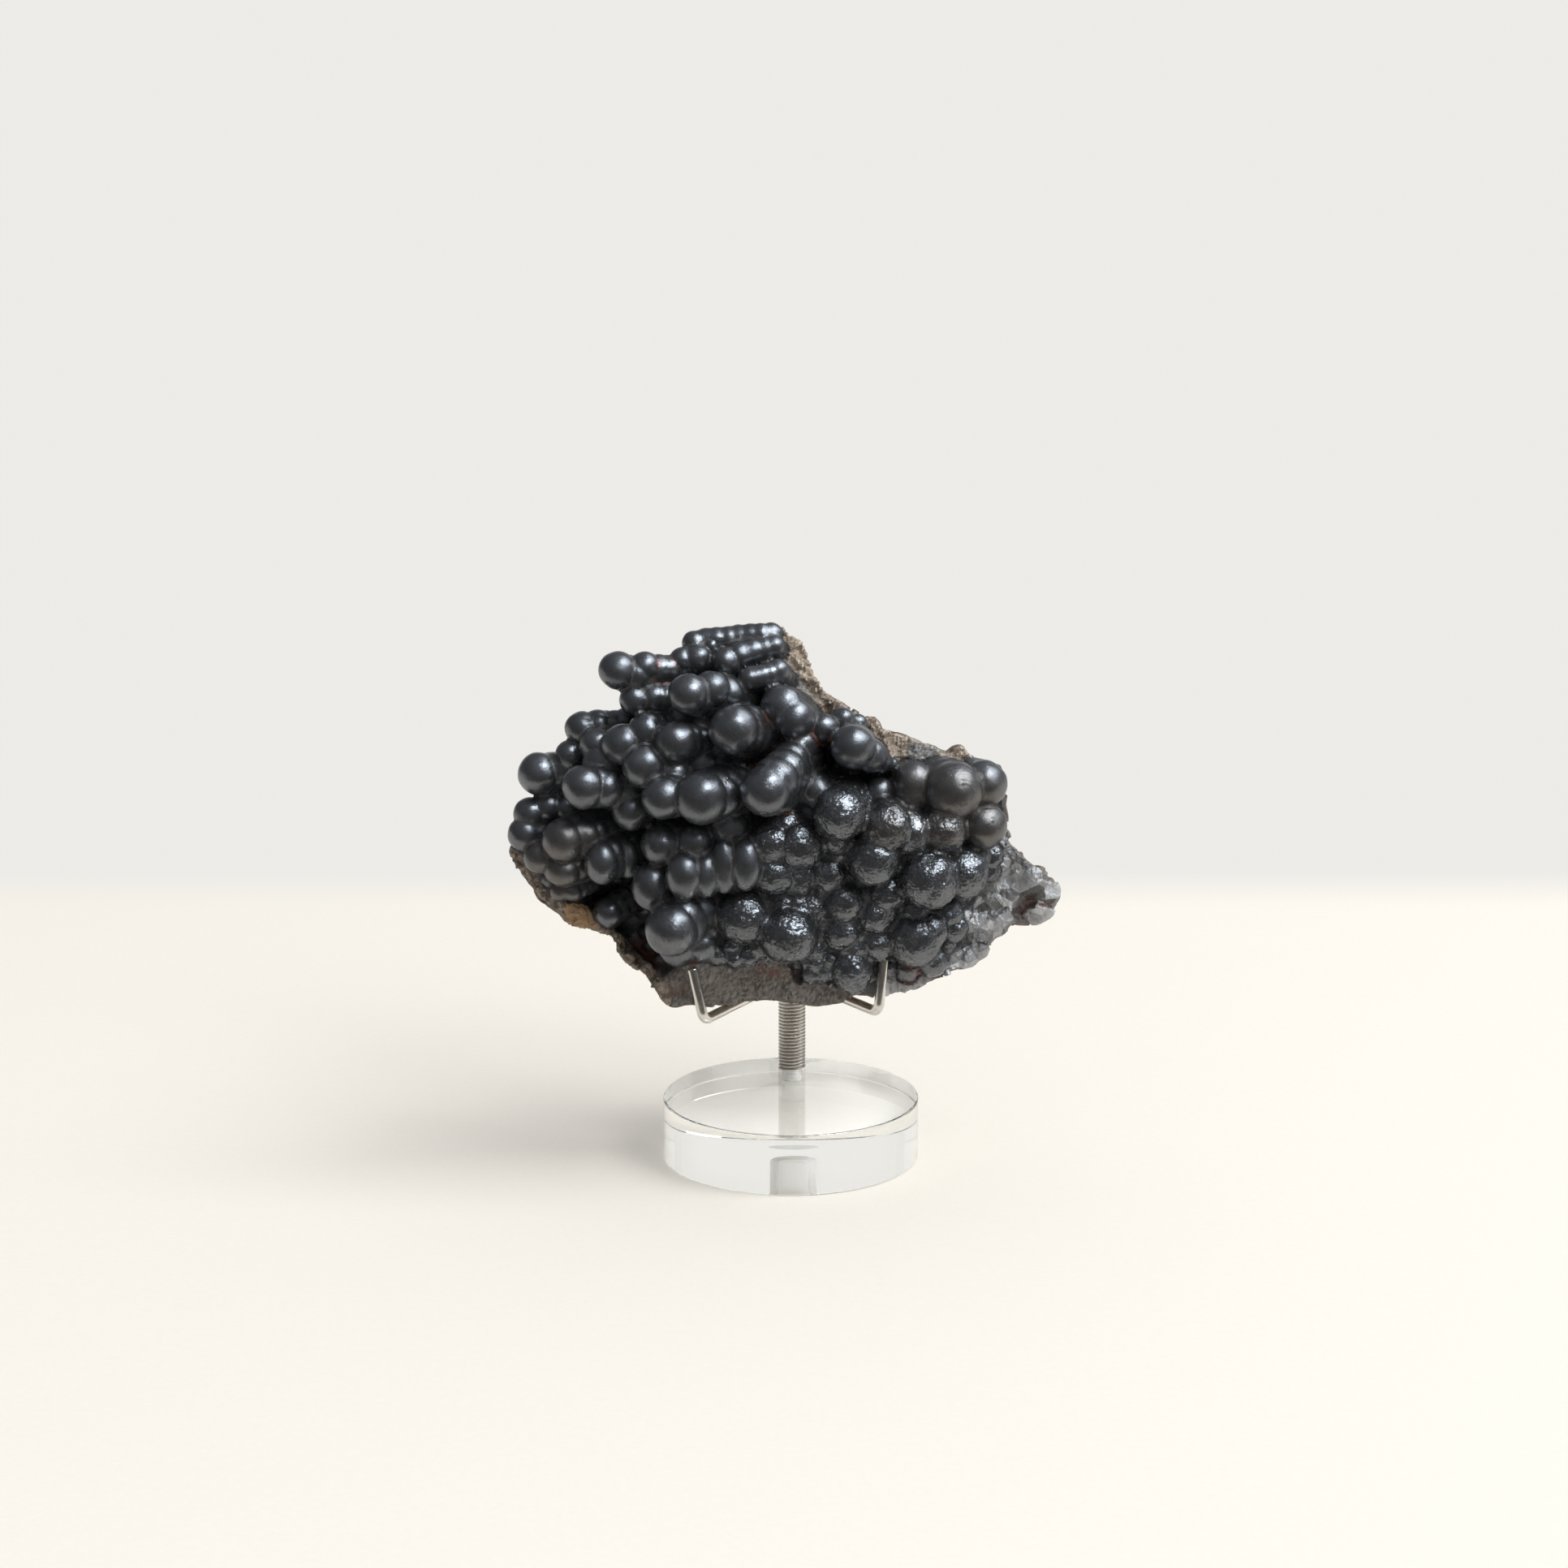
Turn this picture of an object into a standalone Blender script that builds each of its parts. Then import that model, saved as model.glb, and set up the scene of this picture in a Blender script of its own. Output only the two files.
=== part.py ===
"""A plate of botryoidal hematite on its display stand.

The stand is a clear acrylic disc, a threaded steel post at the back of the disc, a round hub on the
post's top end and four bent wire arms. The stone rests on the two front arms, behind their upturned
prongs, and leans back on the two rear arms. +Z is up and the viewer stands at -Y. The origin is at
the middle of the disc's underside.
"""
import math
from collections import namedtuple

import bmesh
import bpy
import numpy as np
from mathutils import Matrix, Vector
from mathutils.geometry import delaunay_2d_cdt

# Driving dimensions, in metres
MM = 0.001
GAP = 0.3 * MM                  # clearance between pieces that touch
WELD = 0.01 * MM                # points closer than this are one point
EDGE_ANGLE = 50.0               # edges sharper than this are bevelled, in degrees

DISC_RADIUS = 37.5 * MM
DISC_THICKNESS = 17.7 * MM
DISC_EDGE = 0.5 * MM            # the polished edge's small bevel
DISC_SIDES = 60

POST_X = 0.4 * MM
POST_Y = 26.6 * MM              # the post stands near the disc's back edge
THREAD_RADIUS = 4.15 * MM
THREAD_DEPTH = 0.55 * MM
THREAD_PITCH = 1.05 * MM
THREAD_CREST = (0.35, 0.65)     # where a ring's flat crest starts and ends, in pitches
THREAD_STEPS = 14
POST_TOP = 43.1 * MM
SPIGOT_RADIUS = 2.7 * MM
SPIGOT_LENGTH = 9.0 * MM
HOLE_RADIUS = SPIGOT_RADIUS + GAP
HOLE_DEPTH = 14.7 * MM
HOLE_SIDES = 24

HUB_RADIUS = 7.0 * MM
HUB_BOTTOM = 40.4 * MM
HUB_TOP = 50.0 * MM
HUB_EDGE = 0.5 * MM
HUB_SIDES = 32
BORE_SIDES = 16

WIRE_RADIUS = 1.5 * MM
WIRE_BEND = 3.0 * MM            # centre-line radius of a wire's bend
ARM_LEVEL = 46.4 * MM           # height of the arms' centre lines
ARM_START = 3.0 * MM            # the arms' inner ends, from the post's axis

# The wires' corners and free ends, in millimetres. A rear tip is given across and up only, because
# it leans on the stone's back.
FRONT_LEFT_CORNER = (-24.9, -20.3)
FRONT_LEFT_TIP = (-28.0, -20.3, 61.8)
FRONT_RIGHT_CORNER = (25.2, -12.2)
FRONT_RIGHT_TIP = (26.7, -12.2, 62.6)
REAR_LEFT_CORNER = (-21.0, 35.0)
REAR_LEFT_TIP = (-24.0, 98.0)
REAR_RIGHT_CORNER = (24.0, 34.5)
REAR_RIGHT_TIP = (27.0, 92.0)

# The stone's front was surveyed by eye from one standing point. Its table gives, in millimetres,
# where each bubble's middle is seen against an upright datum plane, and how deep it really lies.
EYE = Vector((-2.0, -784.1, 271.2))
DATUM_DEPTH = -15.0
GROWTH_CENTRE = Vector((22.0, 62.0, 108.0))
STALK_LENGTH = 13.0
FREE_STALK_LENGTH = 8.0
STALK_NECK = 0.95               # a stalk's radius at its bubble, in bubble radii
STALK_FLARE = 1.35              # a stalk's radius at its root, in bubble radii
STALK_SIDES = 20
FREE_DEPTH = -9.5               # bubbles deeper than this stand free at the edge, on straight stalks
GROUND_RECESS = 3.5             # the ground between bubbles, behind their middles
DEEP_PULL = 4.0                 # how strongly a deep reading wins over a shallow one beside it
RIM_WALL = 3.5                  # height of the plate's edge before its back rounds off
BACK_DEPTH = 17.0
BACK_ROUNDING = 15.0
BACK_WAVE = 1.2                 # height of the back's shallow waves
WAVE_ACROSS = 15.0              # and their lengths across and up, for one radian
WAVE_UP = 12.0
WAVE_SHIFT = 0.6
END_THINNING = 8.0              # how much thinner the plate is at its two ends
END_REACH = 80.0                # distance of the ends from the middle
TOP_THINNING = 8.0              # and how much thinner it is at the top of its crest
CREST_START = 125.0
CREST_HEIGHT = 35.0
UNDERSIDE_LEVEL = 48.2
GROUND_STEP = 3.2
RIM_MARGIN = 0.4                # the ground's points stay this share of a step off the rim
VOXEL = 1.35 * MM
STONE_TRIANGLES = 6200

Bubble = namedtuple("Bubble", "x z depth radius tall", defaults=(1.0,))

FREE_FINGERS = (
    Bubble(-48.4, 146.7, -9, 5.2),
    Bubble(-43.3, 145.4, -8, 3.9),
    Bubble(-40.8, 148.0, -7, 3.9),
    Bubble(-36.6, 147.4, -5, 4.1),
    Bubble(-34.5, 146.4, -4, 4.4),
    Bubble(-43.6, 137.9, -9, 4.1),
    Bubble(-38.2, 138.6, -8, 3.9),
    Bubble(-34.8, 138.4, -7, 3.9),
)

TOP_RIDGES = (
    Bubble(-30.9, 149.3, -3, 4.2),
    Bubble(-26.4, 150.2, -3, 4.2),
    Bubble(-27.2, 155.2, 1, 4.0),
    Bubble(-23.0, 155.6, 2, 4.0),
    Bubble(-19.2, 156.0, 2, 4.0),
    Bubble(-15.6, 156.3, 3, 4.0),
    Bubble(-12.2, 156.6, 3, 4.0),
    Bubble(-9.0, 156.8, 3, 4.0),
    Bubble(-6.2, 157.0, 4, 4.0),
    Bubble(-22.4, 153.5, -1, 1.8),
    Bubble(-17.6, 149.9, -4, 4.8),
    Bubble(-13.2, 151.6, -2, 4.6),
    Bubble(-9.6, 152.6, -1, 4.6),
    Bubble(-6.4, 153.4, 0, 4.6),
    Bubble(-11.0, 144.5, -8, 3.8),
    Bubble(-7.6, 145.4, -6, 4.2),
    Bubble(-4.3, 146.4, -4, 4.2),
)

UPPER_MIDDLE = (
    Bubble(-28.3, 140.2, -17, 5.0),
    Bubble(-22.2, 141.1, -13, 4.5),
    Bubble(-17.4, 140.4, -10, 4.2),
    Bubble(-13.2, 138.8, -7, 3.4),
    Bubble(-30.5, 133.2, -9, 4.2),
    Bubble(-25.8, 132.3, -9, 4.2),
    Bubble(-22.0, 133.0, -8, 3.2),
    Bubble(-16.0, 130.4, -21, 6.1),
    Bubble(-11.2, 131.4, -15, 4.9),
    Bubble(-32.5, 126.2, -18, 5.3),
    Bubble(-25.4, 126.6, -14, 3.2),
    Bubble(-40.7, 129.6, -14, 4.4),
    Bubble(-25.0, 120.2, -13, 4.3),
    Bubble(-19.8, 118.9, -12, 3.6),
    Bubble(-15.4, 119.2, -10, 3.2),
    Bubble(-33.0, 117.2, -17, 3.8),
    Bubble(-20.0, 125.2, -11, 3.4),
)

LEFT_SIDE = (
    Bubble(-41.6, 119.3, -19, 5.3),
    Bubble(-47.6, 125.5, -15, 5.2),
    Bubble(-54.6, 125.4, -9, 4.8),
    Bubble(-58.1, 130.6, -3, 5.0),
    Bubble(-53.2, 131.6, -2, 3.9),
    Bubble(-48.4, 132.8, -1, 3.2),
    Bubble(-62.2, 122.3, -4, 4.2),
    Bubble(-70.4, 117.2, -4, 5.8),
    Bubble(-64.4, 118.9, -3, 4.4),
    Bubble(-53.4, 120.0, -11, 4.9),
    Bubble(-58.4, 113.3, -18, 5.6),
    Bubble(-52.3, 112.9, -16, 4.9),
    Bubble(-45.2, 106.2, -15, 4.8),
    Bubble(-46.5, 112.5, -13, 4.0),
    Bubble(-73.7, 105.7, -4, 4.7),
    Bubble(-68.4, 107.3, -4, 3.9),
    Bubble(-63.6, 107.3, -4, 3.6),
    Bubble(-75.1, 99.8, -5, 4.9),
    Bubble(-64.4, 98.0, -13, 5.6),
    Bubble(-58.3, 99.2, -11, 4.3),
    Bubble(-71.3, 93.0, -9, 4.5),
    Bubble(-64.6, 89.4, -10, 5.0, 0.85),
    Bubble(-66.4, 83.2, -7, 3.0),
    Bubble(-62.8, 83.0, -7, 2.8),
    Bubble(-53.5, 91.4, -15, 4.6, 1.2),
    Bubble(-46.2, 92.4, -12, 3.3, 1.5),
    Bubble(-51.8, 76.8, -5, 4.6),
)

FRONT_MIDDLE = (
    Bubble(-36.2, 110.2, -24, 5.3),
    Bubble(-25.4, 110.2, -26, 6.8),
    Bubble(-20.4, 110.6, -22, 5.5),
    Bubble(-17.4, 110.9, -19, 4.2),
    Bubble(-17.4, 101.8, -17, 5.0),
    Bubble(-7.0, 112.2, -28, 6.3),
    Bubble(-4.4, 115.1, -25, 6.1),
    Bubble(-2.0, 117.9, -21, 5.8),
    Bubble(-0.4, 120.8, -17, 4.7),
    Bubble(-36.8, 96.6, -18, 5.2),
    Bubble(-27.6, 97.2, -18, 5.0),
    Bubble(-30.3, 87.6, -20, 4.7, 1.33),
    Bubble(-24.3, 87.4, -19, 3.5, 1.55),
    Bubble(-19.0, 90.2, -19, 3.6, 1.95),
    Bubble(-12.9, 90.6, -20, 4.1, 1.6),
    Bubble(-39.4, 84.2, -17, 5.3, 1.2),
    Bubble(-34.0, 71.9, -23, 6.9),
    Bubble(-32.2, 66.8, -16, 5.3),
    Bubble(-26.2, 67.4, -15, 4.7),
    Bubble(-26.0, 77.3, -15, 3.7),
    Bubble(-24.0, 72.4, -14, 3.5),
)

ROUGH_MIDDLE = (
    Bubble(-5.6, 97.0, -19, 5.3),
    Bubble(2.3, 96.3, -19, 6.2),
    Bubble(-1.6, 101.9, -16, 4.1),
    Bubble(-4.9, 88.0, -18, 5.8),
    Bubble(1.4, 86.6, -15, 4.7),
    Bubble(10.2, 88.2, -13, 5.7),
    Bubble(9.4, 94.0, -11, 4.6),
    Bubble(-13.6, 75.6, -17, 7.1),
    Bubble(-2.6, 79.2, -15, 3.4),
    Bubble(1.6, 79.0, -15, 3.4),
    Bubble(6.4, 77.4, -14, 3.7, 1.3),
    Bubble(-0.8, 70.2, -18, 8.0, 0.93),
    Bubble(-21.0, 64.4, -15, 2.9),
    Bubble(-16.4, 63.2, -15, 2.2),
    Bubble(-12.0, 64.3, -15, 2.9),
    Bubble(-9.2, 66.2, -15, 2.7),
    Bubble(6.8, 66.4, -12, 3.0),
    Bubble(6.0, 58.4, -11, 4.2),
    Bubble(10.6, 59.2, -11, 4.4),
)

RIGHT_UPPER = (
    Bubble(-2.5, 136.5, -11, 5.4),
    Bubble(0.6, 132.8, -13, 5.1),
    Bubble(8.9, 130.1, -9, 4.4),
    Bubble(14.3, 132.6, -5, 3.6),
    Bubble(18.5, 131.4, -3, 2.9),
    Bubble(2.4, 125.2, -12, 4.5),
    Bubble(17.4, 124.9, -17, 5.7),
    Bubble(22.6, 122.8, -13, 3.4),
    Bubble(7.0, 112.3, -15, 4.6),
    Bubble(13.8, 105.4, -23, 6.8),
    Bubble(12.7, 98.8, -17, 4.8),
    Bubble(13.4, 95.6, -14, 3.5),
    Bubble(25.0, 111.8, -9, 4.2),
    Bubble(34.5, 114.8, -11, 5.2),
    Bubble(34.5, 111.0, -11, 4.8),
    Bubble(45.8, 112.3, -14, 7.5),
    Bubble(53.9, 113.4, -9, 6.3),
)

RIGHT_MIDDLE = (
    Bubble(27.4, 101.4, -20, 6.6),
    Bubble(33.0, 100.3, -17, 6.3),
    Bubble(33.6, 95.8, -14, 4.9),
    Bubble(42.8, 100.8, -15, 6.3),
    Bubble(54.4, 102.2, -11, 6.0),
    Bubble(23.4, 92.2, -20, 6.8),
    Bubble(39.2, 86.4, -19, 7.6),
    Bubble(48.8, 88.4, -14, 6.6),
    Bubble(52.5, 93.8, -8, 3.6),
    Bubble(56.2, 93.0, -6, 3.5),
    Bubble(27.2, 82.6, -14, 5.2),
    Bubble(15.0, 80.0, -15, 5.5),
    Bubble(24.4, 76.2, -14, 4.9),
    Bubble(35.0, 77.6, -11, 3.9),
    Bubble(44.6, 76.6, -9, 4.2),
    Bubble(46.4, 72.2, -9, 3.9),
    Bubble(14.4, 71.4, -13, 5.0),
    Bubble(17.2, 66.6, -12, 3.4),
    Bubble(24.0, 67.8, -11, 4.4),
    Bubble(35.3, 69.2, -12, 7.3),
    Bubble(17.2, 60.2, -12, 5.9),
    Bubble(40.2, 62.8, -8, 5.3),
    Bubble(33.0, 60.6, -8, 4.0),
)

BUBBLES = (FREE_FINGERS + TOP_RIDGES + UPPER_MIDDLE + LEFT_SIDE + FRONT_MIDDLE + ROUGH_MIDDLE
           + RIGHT_UPPER + RIGHT_MIDDLE)

# Bare ground with no bubble on it: x, z on the datum plane, then the depth of its surface
HOLLOWS = (
    (-53, 83, 6), (-46, 82, 5), (-46, 75, 4), (-44, 68, 2), (-55, 102.5, 1), (-50, 101, 0),
    (15, 117, 5), (21, 116, 3), (11, 119, 2), (-7, 140, 3), (-40, 142.5, 3), (-12, 105, -7),
)
BROKEN_GROUND = (
    (-80, 94.5, -6), (-76, 89, -6), (-71, 82, -7), (-66, 77.5, -8), (-60, 76, -9), (-55, 72.5, -8),
    (-50, 69, -9), (-46, 64, -10), (-42, 59.5, -12), (-38, 54, -15), (-35.5, 49, -17),
    (-32, 57, -15.5), (-27, 50.5, -18.4), (-27, 55.5, -18.4), (-27.5, 60.5, -18.2),
    (-20, 50.5, -17), (-20, 60, -16.5), (-10, 51, -15.5), (-10, 59, -15), (0, 50.5, -14),
    (0, 57, -13), (8, 50, -12.5), (15, 51.5, -11), (22, 54, -10.2), (26, 53, -10.3), (26.5, 58, -10.2),
    (32, 55, -9), (37, 57.5, -8.5), (44, 60.5, -8), (49, 62.5, -7.5), (54, 65, -6), (52, 69, -6),
    (57, 69.5, -5), (57, 74, -5.5), (52, 80, -3), (60, 79, -4), (62, 87, -2), (58, 88, -5),
    (62, 94, -4), (62, 99, -3), (66, 91, -4), (70, 86, -5.5), (74, 85, -3), (71, 80, -5),
    (67, 77, -2), (73, 77, -3), (59, 108, -4), (59, 117, -4), (52, 119.5, -4), (44, 121.5, -5),
    (37, 122.5, -5), (29, 124.5, -4), (30, 119, -3), (25, 129, -2), (20, 132.5, 0), (10, 137, 0),
    (5, 143, 0), (2, 150, 1), (0, 156, 2), (-3, 160, 3),
)

# The plate's edge, clockwise from the top of the crest, as seen against the datum plane
RIM = (
    (-2.7, 161.0), (-1.2, 156.7), (2.5, 154.5), (4.3, 151.2), (6.3, 146.2), (7.4, 142.5),
    (10.0, 139.6), (13.7, 137.3), (17.0, 135.1), (20.1, 133.2), (23.9, 133.4), (25.7, 129.2),
    (31.7, 127.9), (36.0, 125.9), (39.0, 125.4), (43.6, 123.0), (46.6, 125.0), (48.5, 124.5),
    (51.8, 121.8), (59.2, 119.5), (60.8, 114.7), (59.9, 108.2), (60.8, 104.5), (60.5, 101.6),
    (61.8, 100.7), (62.6, 97.2), (64.3, 96.1), (66.0, 92.8), (68.5, 90.1), (71.0, 90.0),
    (73.0, 87.8), (76.0, 84.4), (75.8, 80.9), (74.0, 76.0), (70.2, 73.9), (66.0, 73.8),
    (63.0, 74.0), (61.3, 69.8), (58.7, 68.8), (55.7, 66.0), (55.7, 64.5), (53.5, 63.4),
    (50.6, 60.5), (46.5, 59.7), (40.0, 57.5), (36.3, 55.2), (32.0, 53.5), (28.0, 52.0),
    (24.5, 52.0), (21.0, 53.0), (18.0, 52.6), (14.5, 50.1), (11.0, 49.2), (7.0, 48.9),
    (3.0, 49.7), (-3.5, 50.1), (-7.0, 50.9), (-12.0, 50.3), (-17.0, 49.8), (-25.5, 49.2),
    (-30.0, 49.5), (-35.3, 48.0), (-38.3, 52.0), (-41.0, 57.7), (-47.5, 62.8), (-51.5, 70.0),
    (-57.0, 71.7), (-62.5, 73.0), (-65.0, 76.0), (-71.8, 81.5), (-73.0, 84.5), (-76.2, 87.8),
    (-78.7, 92.0), (-81.0, 95.7), (-75.0, 97.5), (-71.0, 104.0), (-67.0, 112.0), (-62.0, 118.5),
    (-55.0, 127.5), (-46.0, 131.5), (-38.5, 137.5), (-37.0, 145.5), (-30.0, 151.0), (-26.0, 156.0),
    (-12.0, 158.5), (-5.5, 158.5),
)


def along_sight(x, z, depth):
    """Carry a point read on the datum plane along its line of sight to its real depth."""
    spread = (depth - EYE.y) / (DATUM_DEPTH - EYE.y)
    return Vector((EYE.x + (x - EYE.x) * spread, depth, EYE.z + (z - EYE.z) * spread))


def seen_at(x, y, z):
    """Where a real point, in millimetres, is seen against the datum plane."""
    spread = (y - EYE.y) / (DATUM_DEPTH - EYE.y)
    return EYE.x + (x - EYE.x) / spread, EYE.z + (z - EYE.z) / spread


def back_depth(x, z):
    """Depth of the plate's broken back: thinner toward the ends and the crest, in shallow waves."""
    ends = END_THINNING * (x / END_REACH) ** 2
    crest = TOP_THINNING * np.clip((z - CREST_START) / CREST_HEIGHT, 0.0, 1.0)
    waves = BACK_WAVE * np.sin(x / WAVE_ACROSS + WAVE_SHIFT) * np.cos(z / WAVE_UP)
    return BACK_DEPTH - ends - crest + waves


def rear_tip(across, up):
    """Free end of a rear wire, just clear of the stone's back."""
    wire_depth = BACK_DEPTH + (WIRE_RADIUS + GAP) / MM
    depth = back_depth(*seen_at(across, wire_depth, up)) + (WIRE_RADIUS + 2 * GAP) / MM
    return (across, depth, up)


def add_material(obj, colour, roughness, metallic, transmission=0.0):
    """Give the object a Principled material of its own."""
    material = bpy.data.materials.new(obj.name)
    material.use_nodes = True
    shader = material.node_tree.nodes["Principled BSDF"]
    shader.inputs["Base Color"].default_value = (*colour, 1.0)
    shader.inputs["Roughness"].default_value = roughness
    shader.inputs["Metallic"].default_value = metallic
    shader.inputs["Transmission Weight"].default_value = transmission
    shader.inputs["IOR"].default_value = 1.49
    obj.data.materials.clear()
    obj.data.materials.append(material)


def place(obj, collection):
    """Keep the object in the given collection only."""
    for other in list(obj.users_collection):
        other.objects.unlink(obj)
    collection.objects.link(obj)


def mesh_object(name, mesh, collection):
    """Put a finished mesh in the scene under its piece's name."""
    mesh.name = name
    obj = bpy.data.objects.new(name, mesh)
    collection.objects.link(obj)
    return obj


def evaluated_mesh(obj):
    """Return a copy of the object's mesh with its modifiers applied."""
    bpy.context.view_layer.update()
    graph = bpy.context.evaluated_depsgraph_get()
    return bpy.data.meshes.new_from_object(obj.evaluated_get(graph))


def shade(obj, angle=30.0):
    """Shade the curved faces smooth and keep the real edges sharp."""
    obj.data.shade_smooth()
    obj.data.set_sharp_from_angle(angle=math.radians(angle))


def cut(obj, cutter):
    """Cut the cutter's shape out of the object."""
    modifier = obj.modifiers.new("cut " + cutter.name, "BOOLEAN")
    modifier.operation = "DIFFERENCE"
    modifier.solver = "EXACT"
    modifier.object = cutter


def cylinder(name, radius, bottom, top, collection, sides=48, x=POST_X, y=POST_Y):
    """Add an upright cylinder between two levels."""
    bpy.ops.mesh.primitive_cylinder_add(vertices=sides, radius=radius, depth=top - bottom,
                                        location=(x, y, (top + bottom) / 2))
    obj = bpy.context.object
    obj.name = name
    place(obj, collection)
    return obj


def round_edges(obj, width):
    """Bevel the object's sharp edges."""
    bevel = obj.modifiers.new("edges", "BEVEL")
    bevel.width = width
    bevel.segments = 1
    bevel.limit_method = "ANGLE"
    bevel.angle_limit = math.radians(EDGE_ANGLE)


def filleted(points, radius, steps=5):
    """Return the polyline with its one inner corner turned into an arc."""
    start, corner, end = (Vector(point) for point in points)
    back = (start - corner).normalized()
    onward = (end - corner).normalized()
    half_angle = back.angle(onward) / 2
    reach = radius / math.tan(half_angle)
    centre = corner + (back + onward).normalized() * (radius / math.sin(half_angle))
    first = corner + back * reach - centre
    last = corner + onward * reach - centre
    turn = first.angle(last)
    arc = []
    for step in range(steps + 1):
        share = step / steps
        spoke = first * math.sin((1 - share) * turn) + last * math.sin(share * turn)
        arc.append(centre + spoke / math.sin(turn))
    return [start] + arc + [end]


def wire(name, points, radius, collection):
    """Make a round wire with closed ends along the points, as a mesh."""
    curve = bpy.data.curves.new(name, "CURVE")
    curve.dimensions = "3D"
    curve.bevel_depth = radius
    curve.bevel_resolution = 3
    curve.use_fill_caps = True
    spline = curve.splines.new("POLY")
    spline.points.add(len(points) - 1)
    for knot, point in zip(spline.points, points):
        knot.co = (*point, 1.0)
    guide = bpy.data.objects.new(name + " route", curve)
    collection.objects.link(guide)
    mesh = evaluated_mesh(guide)
    bpy.data.objects.remove(guide)
    bpy.data.curves.remove(curve)
    welded = bmesh.new()
    welded.from_mesh(mesh)
    bmesh.ops.remove_doubles(welded, verts=welded.verts, dist=WELD)
    bmesh.ops.recalc_face_normals(welded, faces=welded.faces)
    welded.to_mesh(mesh)
    welded.free()
    return mesh_object(name, mesh, collection)


def arm_route(corner, tip):
    """Route of one arm's centre line, from inside the hub to the prong's tip."""
    knee = Vector((corner[0] * MM, corner[1] * MM, ARM_LEVEL))
    hub = Vector((POST_X, POST_Y, ARM_LEVEL))
    inner_end = hub + (knee - hub).normalized() * ARM_START
    return filleted((inner_end, knee, Vector(tip) * MM), WIRE_BEND)


ARMS = {
    "arm_front_left": (FRONT_LEFT_CORNER, FRONT_LEFT_TIP),
    "arm_front_right": (FRONT_RIGHT_CORNER, FRONT_RIGHT_TIP),
    "arm_rear_left": (REAR_LEFT_CORNER, rear_tip(*REAR_LEFT_TIP)),
    "arm_rear_right": (REAR_RIGHT_CORNER, rear_tip(*REAR_RIGHT_TIP)),
}


def make_base_disc(parts, cutters):
    """Clear acrylic disc with a blind hole for the post."""
    disc = cylinder("base_disc", DISC_RADIUS, 0.0, DISC_THICKNESS, parts, DISC_SIDES, 0.0, 0.0)
    round_edges(disc, DISC_EDGE)
    hole = cylinder("post hole", HOLE_RADIUS, DISC_THICKNESS - HOLE_DEPTH, DISC_THICKNESS + MM,
                    cutters, HOLE_SIDES)
    cut(disc, hole)
    add_material(disc, (0.97, 0.98, 0.98), 0.03, 0.0, 1.0)
    shade(disc)


def make_post(parts):
    """Fine-threaded rod with a plain spigot, turned from one profile."""
    foot = DISC_THICKNESS + GAP
    turns = int((POST_TOP - foot) / THREAD_PITCH)
    root = THREAD_RADIUS - THREAD_DEPTH
    outline = [(0.0, POST_TOP), (root, POST_TOP)]
    for turn in range(turns):
        top = POST_TOP - turn * THREAD_PITCH
        for share in THREAD_CREST:
            outline.append((THREAD_RADIUS, top - share * THREAD_PITCH))
        outline.append((root, top - THREAD_PITCH))
    outline[-1] = (root, foot)
    outline.append((SPIGOT_RADIUS, foot))
    outline.append((SPIGOT_RADIUS, foot - SPIGOT_LENGTH))
    outline.append((0.0, foot - SPIGOT_LENGTH))
    mesh = bpy.data.meshes.new("post")
    edges = [(step, step + 1) for step in range(len(outline) - 1)]
    mesh.from_pydata([(radius, 0.0, level) for radius, level in outline], edges, [])
    post = mesh_object("post", mesh, parts)
    post.location = (POST_X, POST_Y, 0.0)
    turned = post.modifiers.new("turned", "SCREW")
    turned.steps = THREAD_STEPS
    turned.render_steps = THREAD_STEPS
    turned.use_merge_vertices = True
    turned.merge_threshold = WELD
    add_material(post, (0.62, 0.60, 0.57), 0.28, 1.0)
    shade(post, 20.0)


def make_hub(parts, cutters):
    """Round collar on the post's top end, drilled for the four arms."""
    hub = cylinder("hub", HUB_RADIUS, HUB_BOTTOM, HUB_TOP, parts, HUB_SIDES)
    round_edges(hub, HUB_EDGE)
    bore = cylinder("hub bore", THREAD_RADIUS + GAP, HUB_BOTTOM - MM, POST_TOP + GAP,
                    cutters, BORE_SIDES)
    cut(hub, bore)
    for name, (corner, tip) in ARMS.items():
        knee = Vector((corner[0] * MM, corner[1] * MM, ARM_LEVEL))
        middle = Vector((POST_X, POST_Y, ARM_LEVEL))
        outward = (knee - middle).normalized()
        drill = wire(name + " hole", [middle + outward * (ARM_START - GAP),
                                      middle + outward * (HUB_RADIUS + MM)],
                     WIRE_RADIUS + GAP, cutters)
        cut(hub, drill)
    add_material(hub, (0.60, 0.58, 0.55), 0.32, 1.0)
    shade(hub)


def make_arms(parts):
    """The four bent wires that hold the stone."""
    for name, (corner, tip) in ARMS.items():
        arm = wire(name, arm_route(corner, tip), WIRE_RADIUS, parts)
        add_material(arm, (0.66, 0.64, 0.60), 0.25, 1.0)
        shade(arm, 40.0)


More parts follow.
